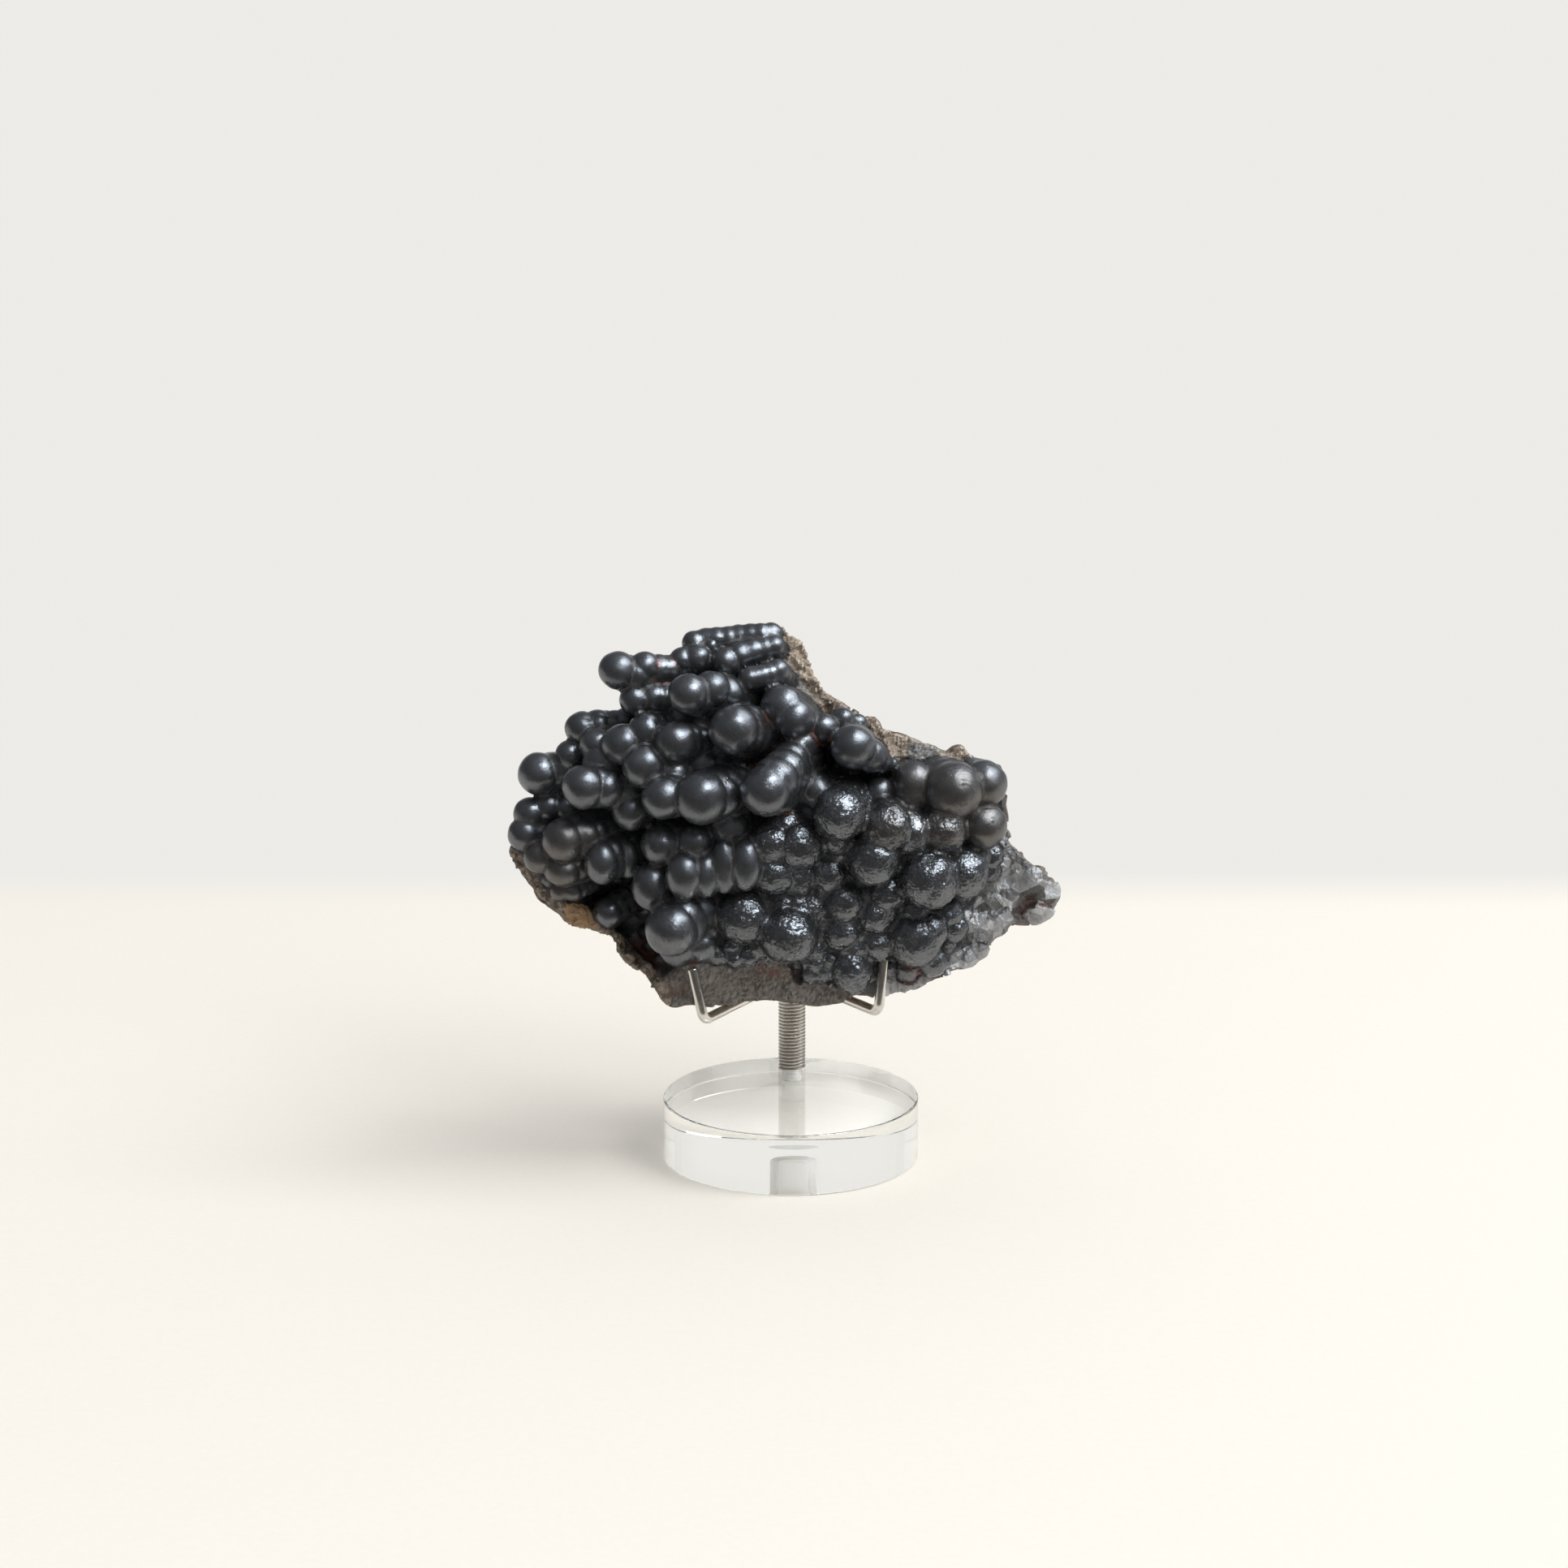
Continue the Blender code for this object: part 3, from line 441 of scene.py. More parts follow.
# %% [markdown]
# ## The bent arms
# An arm starts in the hub, runs level, turns up in one tight bend and ends in a cut, slightly
# rounded tip. A round wire is one circle that is moved along: extruded straight, spun through the
# bend, and extruded straight again. The spin keeps the section round, as a bending jig does.

# %% Arms
WIRE_BEND = 3.0 * MM
BEND_STEPS = 14
TIP_ROUNDING = 0.3 * MM


def bent_wire(start, knee, tip):
    """A round wire from start, round the knee, to its tip."""
    inward = (start - knee).normalized()
    upward = (tip - knee).normalized()
    half = inward.angle(upward) / 2
    reach = WIRE_BEND / math.tan(half)
    centre = knee + (inward + upward).normalized() * (WIRE_BEND / math.sin(half))
    axis = upward.cross(inward).normalized()
    bm = bmesh.new()
    turn = (-inward).to_track_quat("Z", "Y").to_matrix().to_4x4()
    bmesh.ops.create_circle(bm, cap_ends=True, segments=WIRE_SIDES, radius=WIRE_RADIUS,
                            matrix=Matrix.Translation(start) @ turn)
    ring = bm.edges[:]
    ring = pulled(bm, ring, knee + inward * reach - start)
    bend = bmesh.ops.spin(bm, geom=ring, cent=centre, axis=axis, dvec=(0.0, 0.0, 0.0),
                          angle=math.pi - 2 * half, steps=BEND_STEPS)
    ring = [part for part in bend["geom_last"] if isinstance(part, bmesh.types.BMEdge)]
    ring = pulled(bm, ring, tip - knee - upward * reach)
    bmesh.ops.contextual_create(bm, geom=ring)
    bmesh.ops.bevel(bm, geom=ring, offset=TIP_ROUNDING, offset_type="OFFSET", segments=3,
                    profile=0.5, affect="EDGES", material=-1)
    return bm


def pulled(bm, ring, shift):
    """Extrude a ring of edges and move the new ring."""
    made = bmesh.ops.extrude_edge_only(bm, edges=ring)["geom"]
    new_verts = [part for part in made if isinstance(part, bmesh.types.BMVert)]
    bmesh.ops.translate(bm, vec=shift, verts=new_verts)
    new_verts = set(new_verts)
    return [part for part in made if isinstance(part, bmesh.types.BMEdge)
            and new_verts.issuperset(part.verts)]


# %% [markdown]
# ## How the stone's face was surveyed
# Every bubble was read off the picture against an upright datum plane, in millimetres, and its real
# depth was judged from shading and overlaps. To rebuild it, a reading is slid along its line of
# sight from the eye point until it lies at its real depth. The plate's back is a formula, so that
# the tips of the rear arms can be set just clear of it.

# %% Survey functions
EYE = Vector((-2.0, -784.1, 271.2))
DATUM_DEPTH = -15.0
BACK_DEPTH = 17.0
BACK_WAVE = 1.2
WAVE_ACROSS = 15.0
WAVE_UP = 12.0
WAVE_SHIFT = 0.6
END_THINNING = 8.0
END_REACH = 80.0
TOP_THINNING = 8.0
CREST_START = 125.0
CREST_HEIGHT = 35.0


def along_sight(x, z, depth):
    """Carry a point read on the datum plane along its line of sight to its real depth."""
    spread = (depth - EYE.y) / (DATUM_DEPTH - EYE.y)
    return Vector((EYE.x + (x - EYE.x) * spread, depth, EYE.z + (z - EYE.z) * spread))


def seen_at(points):
    """Where real points, as an array in millimetres, are seen against the datum plane."""
    spread = (points[:, 1] - EYE.y) / (DATUM_DEPTH - EYE.y)
    return np.column_stack([EYE.x + (points[:, 0] - EYE.x) / spread,
                            EYE.z + (points[:, 2] - EYE.z) / spread])


def back_depth(x, z):
    """Depth of the plate's broken back: thinner toward the ends and the crest, in waves."""
    ends = END_THINNING * (x / END_REACH) ** 2
    crest = TOP_THINNING * np.clip((z - CREST_START) / CREST_HEIGHT, 0.0, 1.0)
    waves = BACK_WAVE * np.sin(x / WAVE_ACROSS + WAVE_SHIFT) * np.cos(z / WAVE_UP)
    return BACK_DEPTH - ends - crest + waves


def rear_tip(across, up):
    """Free end of a rear arm, just clear of the stone's back, in metres."""
    wire_depth = BACK_DEPTH + (WIRE_RADIUS + GAP) / MM
    (x, z), = seen_at(np.array([[across, wire_depth, up]]))
    depth = back_depth(x, z) + (WIRE_RADIUS + 2 * GAP) / MM
    return Vector((across, depth, up)) * MM


# %% The four arms
FRONT_LEFT_TIP = Vector((-28.0, -20.3, 61.8)) * MM
FRONT_RIGHT_TIP = Vector((26.7, -12.2, 62.6)) * MM
ARMS = {
    "arm_front_left": (FRONT_LEFT_CORNER, FRONT_LEFT_TIP),
    "arm_front_right": (FRONT_RIGHT_CORNER, FRONT_RIGHT_TIP),
    "arm_rear_left": (REAR_LEFT_CORNER, rear_tip(-24.0, 98.0)),
    "arm_rear_right": (REAR_RIGHT_CORNER, rear_tip(27.0, 92.0)),
}
for name, (corner, tip) in ARMS.items():
    knee = knee_of(corner)
    start = HUB_MIDDLE + (knee - HUB_MIDDLE).normalized() * ARM_START
    wire = bent_wire(start, knee, tip)
    add_piece(name.replace("arm", "wire"), finished_mesh(wire, name), name,
              WIRE_NICKEL)

# %% [markdown]
# ## The stone's bubbles
# Botryoidal hematite grows as fans of fibres. Each fan ends in a round front, and fronts that meet
# press a sharp V between them. A bubble pauses as it grows, so older fronts show behind it as
# shallow rings. So each bubble is a sphere at its real place, with a row of older fronts behind it
# toward the point that the whole plate grew from. A row gives x and z on the datum plane, the real
# depth, the radius, and how much taller than wide it is. Along the ridges at the top a slightly
# thinner bubble is put between each two neighbours, so that a ridge reads as one ringed body.

# %% Bubble readings, by region
Bubble = namedtuple("Bubble", "x z depth radius tall", defaults=(1.0,))

FREE_FINGERS = (
    (-48.5, 146.6, -9, 5.4), (-43.2, 145.2, -8, 4.4), (-41.0, 147.6, -7, 4.4),
    (-37.2, 146.6, -5, 4.6), (-34.6, 146.6, -4, 4.5), (-43.9, 138.2, -9, 4.4),
    (-38.6, 138.9, -8, 4.2), (-35.2, 138.7, -7, 4.3),
)
TOP_RIDGES = (
    (-30.4, 149.4, -3, 4.0), (-26.4, 149.9, -3, 4.1), (-27.0, 154.3, 1, 3.6),
    (-23.8, 155.2, 2, 3.5), (-20.7, 155.3, 2, 3.7), (-17.6, 155.5, 2.5, 3.8),
    (-14.6, 155.8, 3, 3.9), (-11.5, 156.1, 3, 3.9), (-8.4, 156.2, 3, 3.9), (-5.8, 156.4, 4, 3.9),
    (-22.4, 153.5, -1, 1.8), (-18.4, 149.0, -4, 4.2),
    (-14.6, 150.7, -2, 4.2), (-10.9, 151.8, -1, 4.0),
    (-7.7, 152.4, 0, 3.9), (-5.0, 153.2, 0.5, 3.6),
    (-11.6, 144.3, -8, 3.5), (-10.0, 144.5, -7.5, 3.6), (-8.4, 144.8, -7, 3.6),
    (-6.2, 145.3, -6, 3.7), (-3.9, 146.2, -5, 3.7),
)
UPPER_MIDDLE = (
    (-28.9, 139.9, -17, 5.2), (-22.4, 141.1, -13, 4.9), (-18.0, 140.0, -10, 4.4),
    (-15.9, 139.1, -8.5, 3.8), (-13.8, 138.4, -7, 3.1), (-30.5, 133.2, -9, 4.4),
    (-25.8, 132.3, -9, 4.4), (-22.0, 133.0, -8, 3.7), (-16.1, 129.7, -21, 6.3),
    (-12.6, 131.1, -15, 5.2), (-32.5, 126.2, -18, 5.5), (-25.4, 126.6, -14, 3.4),
    (-40.7, 129.6, -14, 4.6), (-25.0, 120.2, -13, 4.5), (-19.8, 118.9, -12, 3.8),
    (-15.4, 119.2, -10, 3.6), (-33.0, 117.2, -17, 4.0), (-20.0, 125.2, -11, 3.6),
)
LEFT_SIDE = (
    (-41.6, 119.3, -19, 5.5), (-47.6, 125.5, -15, 5.3), (-54.6, 125.4, -9, 5.0),
    (-58.8, 130.2, -3, 4.9), (-54.4, 131.3, -2, 4.3), (-49.6, 131.5, -1, 3.9),
    (-46.5, 132.5, -1, 3.6), (-62.2, 122.3, -4, 4.6), (-71.0, 117.1, -4, 6.2),
    (-64.4, 118.9, -3, 4.8), (-53.4, 120.0, -11, 5.1), (-58.4, 113.3, -18, 5.7),
    (-52.3, 112.9, -16, 5.1), (-45.2, 106.2, -15, 4.9), (-46.5, 112.5, -13, 4.6),
    (-73.7, 105.5, -4, 4.9), (-68.4, 107.3, -4, 4.2), (-63.6, 107.3, -4, 3.9),
    (-75.2, 99.6, -5, 5.2), (-64.4, 98.0, -13, 5.7), (-58.3, 99.2, -11, 4.6),
    (-71.3, 93.0, -9, 4.7), (-64.6, 89.4, -10, 5.1, 0.85), (-65.8, 83.3, -7, 3.2),
    (-63.9, 83.6, -7, 3.2), (-62.0, 83.3, -7, 3.2), (-53.5, 91.4, -15, 4.7, 1.2),
    (-46.2, 92.4, -12, 3.4, 1.5), (-51.8, 76.8, -5, 4.7),
)
FRONT_MIDDLE = (
    (-36.2, 110.2, -24, 5.5), (-25.4, 110.2, -26, 6.8), (-20.4, 110.6, -22, 5.7),
    (-17.4, 110.9, -19, 4.8), (-17.4, 101.8, -17, 5.1), (-7.0, 112.2, -28, 6.4),
    (-4.4, 115.1, -25, 6.2), (-2.0, 117.9, -21, 5.8), (-0.4, 120.8, -17, 5.0),
    (-36.8, 96.6, -18, 5.3), (-27.6, 97.2, -18, 5.0), (-30.3, 87.6, -23, 4.7, 1.33),
    (-24.3, 87.4, -22.5, 3.7, 1.55), (-19.0, 90.2, -22.5, 3.6, 1.95), (-12.9, 90.6, -23, 4.2, 1.6),
    (-39.4, 84.2, -17, 5.3, 1.2), (-34.0, 71.9, -23, 6.9), (-32.2, 66.8, -16, 5.3),
    (-26.2, 67.4, -15, 5.0), (-26.0, 77.3, -15, 4.0), (-24.0, 72.4, -14, 3.8),
)
ROUGH_MIDDLE = (
    (-5.6, 97.0, -19, 5.6), (2.3, 96.3, -19, 6.3), (-1.6, 101.9, -16, 4.9), (-4.9, 88.0, -18, 5.8),
    (1.4, 86.6, -15, 5.2), (10.2, 88.2, -13, 5.8), (9.4, 94.0, -11, 4.9), (-13.6, 75.6, -17, 7.1),
    (-2.6, 79.2, -15, 3.9), (1.6, 79.0, -15, 3.9), (6.4, 77.4, -14, 4.0, 1.3),
    (-0.8, 70.2, -18, 8.0, 0.93), (-21.0, 64.4, -15, 3.1), (-16.4, 63.2, -15, 2.7),
    (-12.0, 64.3, -15, 3.2), (-9.2, 66.2, -15, 3.2), (6.8, 66.4, -12, 3.8),
)
SMOOTH_UPPER_RIGHT = (
    (-2.5, 136.5, -11, 5.5), (0.6, 132.8, -13, 5.3), (8.9, 130.1, -9, 4.5), (14.3, 132.6, -5, 3.7),
    (18.5, 131.4, -3, 3.0), (2.4, 125.2, -12, 4.5), (17.4, 124.9, -17, 5.7),
    (22.4, 122.3, -13, 4.4), (25.3, 120.7, -11, 3.0), (28.3, 119.9, -9, 1.9),
    (7.0, 112.3, -15, 4.7), (6.3, 107.0, -12, 4.0),
    (6.8, 102.5, -12, 3.6), (25.0, 111.8, -9, 4.4), (34.5, 114.8, -11, 5.2),
    (34.5, 111.0, -11, 5.0), (45.8, 112.3, -14, 7.6), (54.2, 114.2, -9, 6.9),
    (54.4, 102.2, -11, 6.1),
)
ROUGH_RIGHT = (
    (13.8, 105.4, -23, 6.8), (12.7, 98.8, -17, 5.0), (13.4, 95.6, -14, 3.9),
    (27.4, 101.4, -20, 6.7), (33.0, 100.3, -17, 6.4), (33.6, 95.8, -14, 5.1),
    (42.8, 100.8, -15, 6.4), (23.4, 92.2, -20, 6.8), (39.2, 86.4, -19, 7.6), (48.8, 88.4, -14, 6.7),
    (52.8, 93.6, -8, 4.3), (56.3, 93.2, -6, 4.2), (56.5, 89.0, -6, 3.6), (27.2, 82.6, -14, 5.3),
    (15.0, 80.0, -15, 5.6), (24.4, 76.2, -14, 5.2), (35.0, 77.6, -11, 4.4), (44.6, 76.6, -9, 4.7),
    (46.4, 72.2, -9, 4.4), (14.4, 71.4, -13, 5.3), (17.2, 66.6, -12, 4.2), (24.0, 67.8, -11, 5.0),
    (35.3, 69.2, -12, 7.3), (39.6, 71.3, -13, 4.8), (17.2, 60.2, -12, 5.9), (40.2, 62.8, -8, 5.3),
    (33.0, 60.6, -8, 4.2),
)
RIDGE_STEP = 4.0
RIDGE_WAIST = 0.955


def ridge_waists(rows):
    """A slightly thinner bubble between each two neighbours of a ridge, so that it reads as one."""
    waists = []
    for first, second in zip(rows, rows[1:]):
        if math.dist(first[:2], second[:2]) < RIDGE_STEP:
            waists.append(tuple((a + b) / 2 for a, b in zip(first[:3], second[:3]))
                          + ((first[3] + second[3]) / 2 * RIDGE_WAIST,))
    return tuple(waists)


SMOOTH = [Bubble(*row) for row in FREE_FINGERS + TOP_RIDGES + ridge_waists(TOP_RIDGES)
          + UPPER_MIDDLE + LEFT_SIDE + FRONT_MIDDLE + SMOOTH_UPPER_RIGHT]
ROUGH = [Bubble(*row) for row in ROUGH_MIDDLE + ROUGH_RIGHT]
print(len(SMOOTH), "smooth bubbles and", len(ROUGH), "rough ones")

# %% [markdown]
# The ground shows where no bubble covers it: in the dark hollows, and all round the edge where the
# plate was broken out of its vein. Those readings hold x, z and the depth of the surface. The rim
# is the plate's broken outline.

# %% Ground and rim readings
HOLLOWS = (
    (-53, 83, 6), (-46, 82, 5), (-46, 75, 4), (-44, 68, 2), (-55, 102.5, 1), (-50, 101, 0),
    (15, 117, 5), (21, 116, 3), (11, 119, 2), (-7, 140, 3), (-40, 142.5, 3), (-12, 105, -7),
)
BROKEN_GROUND = (
    (-80, 94.5, -6), (-76, 89, -6), (-71, 82, -7), (-66, 77.5, -8), (-60, 76, -9), (-55, 72.5, -8),
    (-50, 69, -9), (-46, 64, -10), (-42, 59.5, -12), (-38, 54, -15), (-35.5, 49, -17),
    (-32, 57, -15.5), (-27, 50.5, -18.4), (-27, 55.5, -18.4), (-27.5, 60.5, -18.2),
    (-20, 50.5, -17), (-20, 60, -16.5), (-10, 51, -15.5), (-10, 59, -15), (0, 50.5, -14),
    (0, 57, -13), (8, 50, -12.5), (15, 51.5, -11), (22, 54, -10.2), (26, 53, -10.3),
    (26.5, 58, -10.2), (32, 55, -9), (37, 57.5, -8.5), (44, 60.5, -8), (49, 62.5, -7.5),
    (54, 65, -6), (52, 69, -6), (57, 69.5, -5), (57, 74, -5.5), (52, 80, -3), (60, 79, -4),
    (62, 87, -2), (58, 88, -5), (62, 94, -4), (62, 99, -3), (66, 91, -4), (70, 86, -5.5),
    (74, 85, -3), (71, 80, -5), (67, 77, -2), (73, 77, -3), (59, 108, -4), (59, 117, -4),
    (52, 119.5, -4), (44, 121.5, -5), (37, 122.5, -5), (29, 124.5, -4), (30, 119, -3),
    (25, 129, -2), (20, 132.5, 0), (10, 137, 0), (5, 143, 0), (2, 150, 1), (0, 156, 2),
    (-3, 160, 3),
)
RIM = (
    (-2.7, 161.0), (-1.2, 156.7), (2.5, 154.5), (4.3, 151.2), (6.3, 146.2), (7.4, 142.5),
    (10.0, 139.6), (13.7, 137.3), (17.0, 135.1), (20.1, 133.2), (23.9, 133.4), (25.7, 129.2),
    (31.7, 127.9), (36.0, 125.9), (39.0, 125.4), (43.6, 123.0), (46.6, 125.0), (48.5, 124.5),
    (51.8, 121.8), (59.2, 119.5), (60.8, 114.7), (59.9, 108.2), (60.8, 104.5), (60.5, 101.6),
    (61.8, 100.7), (62.6, 97.2), (64.3, 96.1), (66.0, 92.8), (68.5, 90.1), (71.0, 90.0),
    (73.0, 87.8), (76.0, 84.4), (75.8, 80.9), (74.0, 76.0), (70.2, 73.9), (66.0, 73.8),
    (63.0, 74.0), (61.3, 69.8), (58.7, 68.8), (55.7, 66.0), (55.7, 64.5), (53.5, 63.4),
    (50.6, 60.5), (46.5, 59.7), (40.0, 57.5), (36.3, 55.2), (32.0, 53.5), (28.0, 52.0),
    (24.5, 52.0), (21.0, 53.0), (18.0, 52.6), (14.5, 50.1), (11.0, 49.2), (7.0, 48.9),
    (3.0, 49.7), (-3.5, 50.1), (-7.0, 50.9), (-12.0, 50.3), (-17.0, 49.8), (-25.5, 49.2),
    (-30.0, 49.5), (-35.3, 48.0), (-38.3, 52.0), (-41.0, 57.7), (-47.5, 62.8), (-51.5, 70.0),
    (-57.0, 71.7), (-62.5, 73.0), (-65.0, 76.0), (-71.8, 81.5), (-73.0, 84.5), (-76.2, 87.8),
    (-78.7, 92.0), (-81.0, 95.7), (-75.0, 97.5), (-71.0, 104.0), (-67.0, 112.0), (-62.0, 118.5),
    (-55.0, 127.5), (-46.0, 131.5), (-38.5, 137.5), (-37.0, 145.5), (-30.0, 151.0),
    (-26.0, 156.0), (-12.0, 158.5), (-5.5, 158.5),
)
print("rim of", len(RIM), "points")

# %% [markdown]
# The black skin is broken away in places. Each break is an outline on the datum plane: a fibrous
# section along the bottom, grey crystal faces at the right end, brown matrix at the upper right.

# %% Outlines of the broken regions
SECTION = ((-36, 49), (-38.3, 53), (-36.5, 58), (-31, 61.6), (-22, 61.8), (-10, 61.6), (0.2, 62),
           (0.8, 57), (5, 56), (8.5, 55.8), (12, 54), (17, 53.2), (19, 51), (14.5, 49), (3, 48.5),
           (-12, 49), (-35, 46.5))
LOWER_LEFT_BREAK = ((-83, 96.5), (-78, 96), (-75.3, 90.8), (-70.5, 84.8), (-66, 79.8),
                    (-61, 79.5), (-56, 77.3), (-52, 73.5), (-47, 69), (-43, 63.5),
                    (-37.5, 59), (-34.5, 53), (-34, 46), (-60, 60), (-84, 84))
RIGHT_CRYSTALS = ((60.5, 104.5), (57.5, 99), (58.5, 92.5), (59.6, 85.6), (55.5, 84.6), (52.5, 80.5),
                  (50, 76), (49.5, 70), (48, 66), (44, 62.5), (46.5, 58), (56, 60), (80, 70),
                  (82, 92), (66, 106))
LOWER_RIGHT_BREAK = ((19, 53.4), (21.2, 57.2), (25, 57.3), (28.5, 56.2), (31, 59.4), (36.5, 59.4),
                     (40, 58.6), (44.5, 62), (47, 60), (45, 55), (28, 49), (18, 50))
UPPER_MATRIX = ((-5.4, 158.3), (-4.8, 153.3), (-3.9, 150.5), (-1.9, 148.7), (-1.8, 145), (-0.2, 141.3),
                (2.8, 139.1), (4.9, 135.1), (9.2, 134.6), (12.2, 135.4), (17.5, 134), (22.2, 131.5),
                (23.1, 126.7), (24.5, 123), (30.5, 121.4), (33.4, 120.8), (41, 120.2), (47, 121),
                (54, 124), (40, 132), (10, 148), (4, 166), (-6, 166))
BANDED_EDGE = ((-2.6, 149.4), (-0.6, 149.4), (2.2, 145), (5.0, 140.4), (3.2, 138.6), (-0.4, 141),
               (-2.0, 145))
COLUMNS = ((33.0, 126.5), (33.0, 121), (41.5, 120.2), (42.0, 124.5))
OCHRE_FACE = ((-65, 78.6), (-63.5, 73.5), (-57, 71.5), (-54.5, 73), (-56.5, 78.5), (-61, 80))
SKIN_TONGUE = ((2.6, 62.5), (3.0, 57.4), (5.0, 56.2), (8.6, 55.8), (12.2, 53.8), (15.5, 55.5),
               (14, 62), (8, 63.5))
CAVITY = ((0.2, 61.8), (0.6, 56.4), (2.6, 55.6), (3.2, 57.2), (3.0, 61.2))
BREAKS = (SECTION, LOWER_LEFT_BREAK, RIGHT_CRYSTALS, LOWER_RIGHT_BREAK, UPPER_MATRIX)
print(len(BREAKS), "broken regions are outlined")

# %% [markdown]
# ## One closed body
# The fronts and the plate only overlap so far. A voxel remesh runs them together into one
# skin, the way that growth did, and it keeps the V between two bubbles. The plate starts as a flat
# grid: what lies outside the rim is deleted, its border is drawn onto the rim, an extrusion gives
# it a back, and then each point takes its depth.
#
# Packed bubbles show only their caps, for their neighbours cut them off before their widest circle.
# So their spheres are made a little wider than the outlines that were read, and the ground stands
# before their middles. Where the survey left a gap, small bubbles fill it on a jittered honeycomb
# with a fixed seed. The free bubbles at the edge keep their radius and stand clear of the ground.

# %% Distance to an outline
def outline_distance(spots, outline):
    """For each spot: its distance to an outline, the nearest point there, and if it lies inside."""
    outline = np.array(outline, dtype=float)
    nearest = np.full(len(spots), 1e9)
    foot = np.zeros((len(spots), 2))
    inside = np.zeros(len(spots), dtype=bool)
    for start, end in zip(outline, np.roll(outline, -1, axis=0)):
        side = end - start
        share = np.clip(((spots - start) @ side) / (side @ side), 0.0, 1.0)
        candidate = start + share[:, None] * side
        away = np.linalg.norm(spots - candidate, axis=1)
        closer = away < nearest
        nearest[closer] = away[closer]
        foot[closer] = candidate[closer]
        crosses = (start[1] > spots[:, 1]) != (end[1] > spots[:, 1])
        rise = side[1] if side[1] else 1e-9
        crosses &= spots[:, 0] < start[0] + side[0] * (spots[:, 1] - start[1]) / rise
        inside ^= crosses
    return nearest, foot, inside


# %% Ground between the bubbles
FREE_DEPTH = -9.5
FREE_RECESS = 1.5
CAP_RISE = 0.42
DEEP_PULL = 6.0


def ground_under(bubble):
    """Depth of the ground round a bubble: before a packed one's middle, and behind a free one's."""
    if bubble.depth >= FREE_DEPTH:
        return bubble.depth + FREE_RECESS
    return bubble.depth - CAP_RISE * bubble.radius


def ground_depths(spots):
    """Depth of the ground between the bubbles, from the readings near each spot, deep ones first."""
    readings = [(b.x, b.z, ground_under(b)) for b in SMOOTH + ROUGH]
    readings = np.array(readings + list(HOLLOWS) + list(BROKEN_GROUND), dtype=float)
    away = ((spots[:, None, :] - readings[None, :, :2]) ** 2).sum(axis=2)
    weight = np.exp(readings[:, 2] / DEEP_PULL) / (away + 1.0) ** 2
    return (weight * readings[:, 2]).sum(axis=1) / weight.sum(axis=1)


# %% Small bubbles for the gaps
GAP_SEED = 11
GAP_STEP = 4.4
GAP_ROW = 0.87
GAP_JITTER = 0.25
GAP_RADII = (2.5, 3.7)
GAP_SINK = 0.45
GAP_MARGIN = 4.0
BREAK_MARGIN = 2.0
HOLLOW_MARGIN = 4.0
BUBBLE_MARGIN = 0.92


def gap_bubbles():
    """Small bubbles for the gaps of the survey, on a jittered honeycomb."""
    low, high = np.array(RIM).min(axis=0), np.array(RIM).max(axis=0)
    chance = np.random.default_rng(GAP_SEED)
    spots = np.array([(x + GAP_STEP * 0.5 * (line % 2), z)
                      for line, z in enumerate(np.arange(low[1], high[1], GAP_STEP * GAP_ROW))
                      for x in np.arange(low[0], high[0], GAP_STEP)])
    spots += chance.uniform(-GAP_JITTER, GAP_JITTER, spots.shape) * GAP_STEP
    radii = chance.uniform(*GAP_RADII, len(spots))
    away, _, free = outline_distance(spots, RIM)
    free &= away > GAP_MARGIN
    for outline in BREAKS:
        away, _, inside = outline_distance(spots, outline)
        free &= ~inside & (away > BREAK_MARGIN)
    for x, z, _ in HOLLOWS:
        free &= np.hypot(spots[:, 0] - x, spots[:, 1] - z) > HOLLOW_MARGIN
    for bubble in SMOOTH + ROUGH:
        away = np.hypot(spots[:, 0] - bubble.x, (spots[:, 1] - bubble.z) / bubble.tall)
        free &= away > bubble.radius * BUBBLE_MARGIN
    depths = ground_depths(spots) + radii * GAP_SINK
    return [Bubble(round(x, 2), round(z, 2), depth, radius)
            for (x, z), depth, radius, keep in zip(spots, depths, radii, free) if keep]


GAP_BUBBLES = gap_bubbles()
BUBBLES = SMOOTH + ROUGH + GAP_BUBBLES
print(len(GAP_BUBBLES), "small bubbles fill the gaps")

# %% The plate
PLATE_STEP = 1.2
RIM_WALL = 3.5
BACK_ROUNDING = 15.0
UNDERSIDE_LEVEL = 48.2


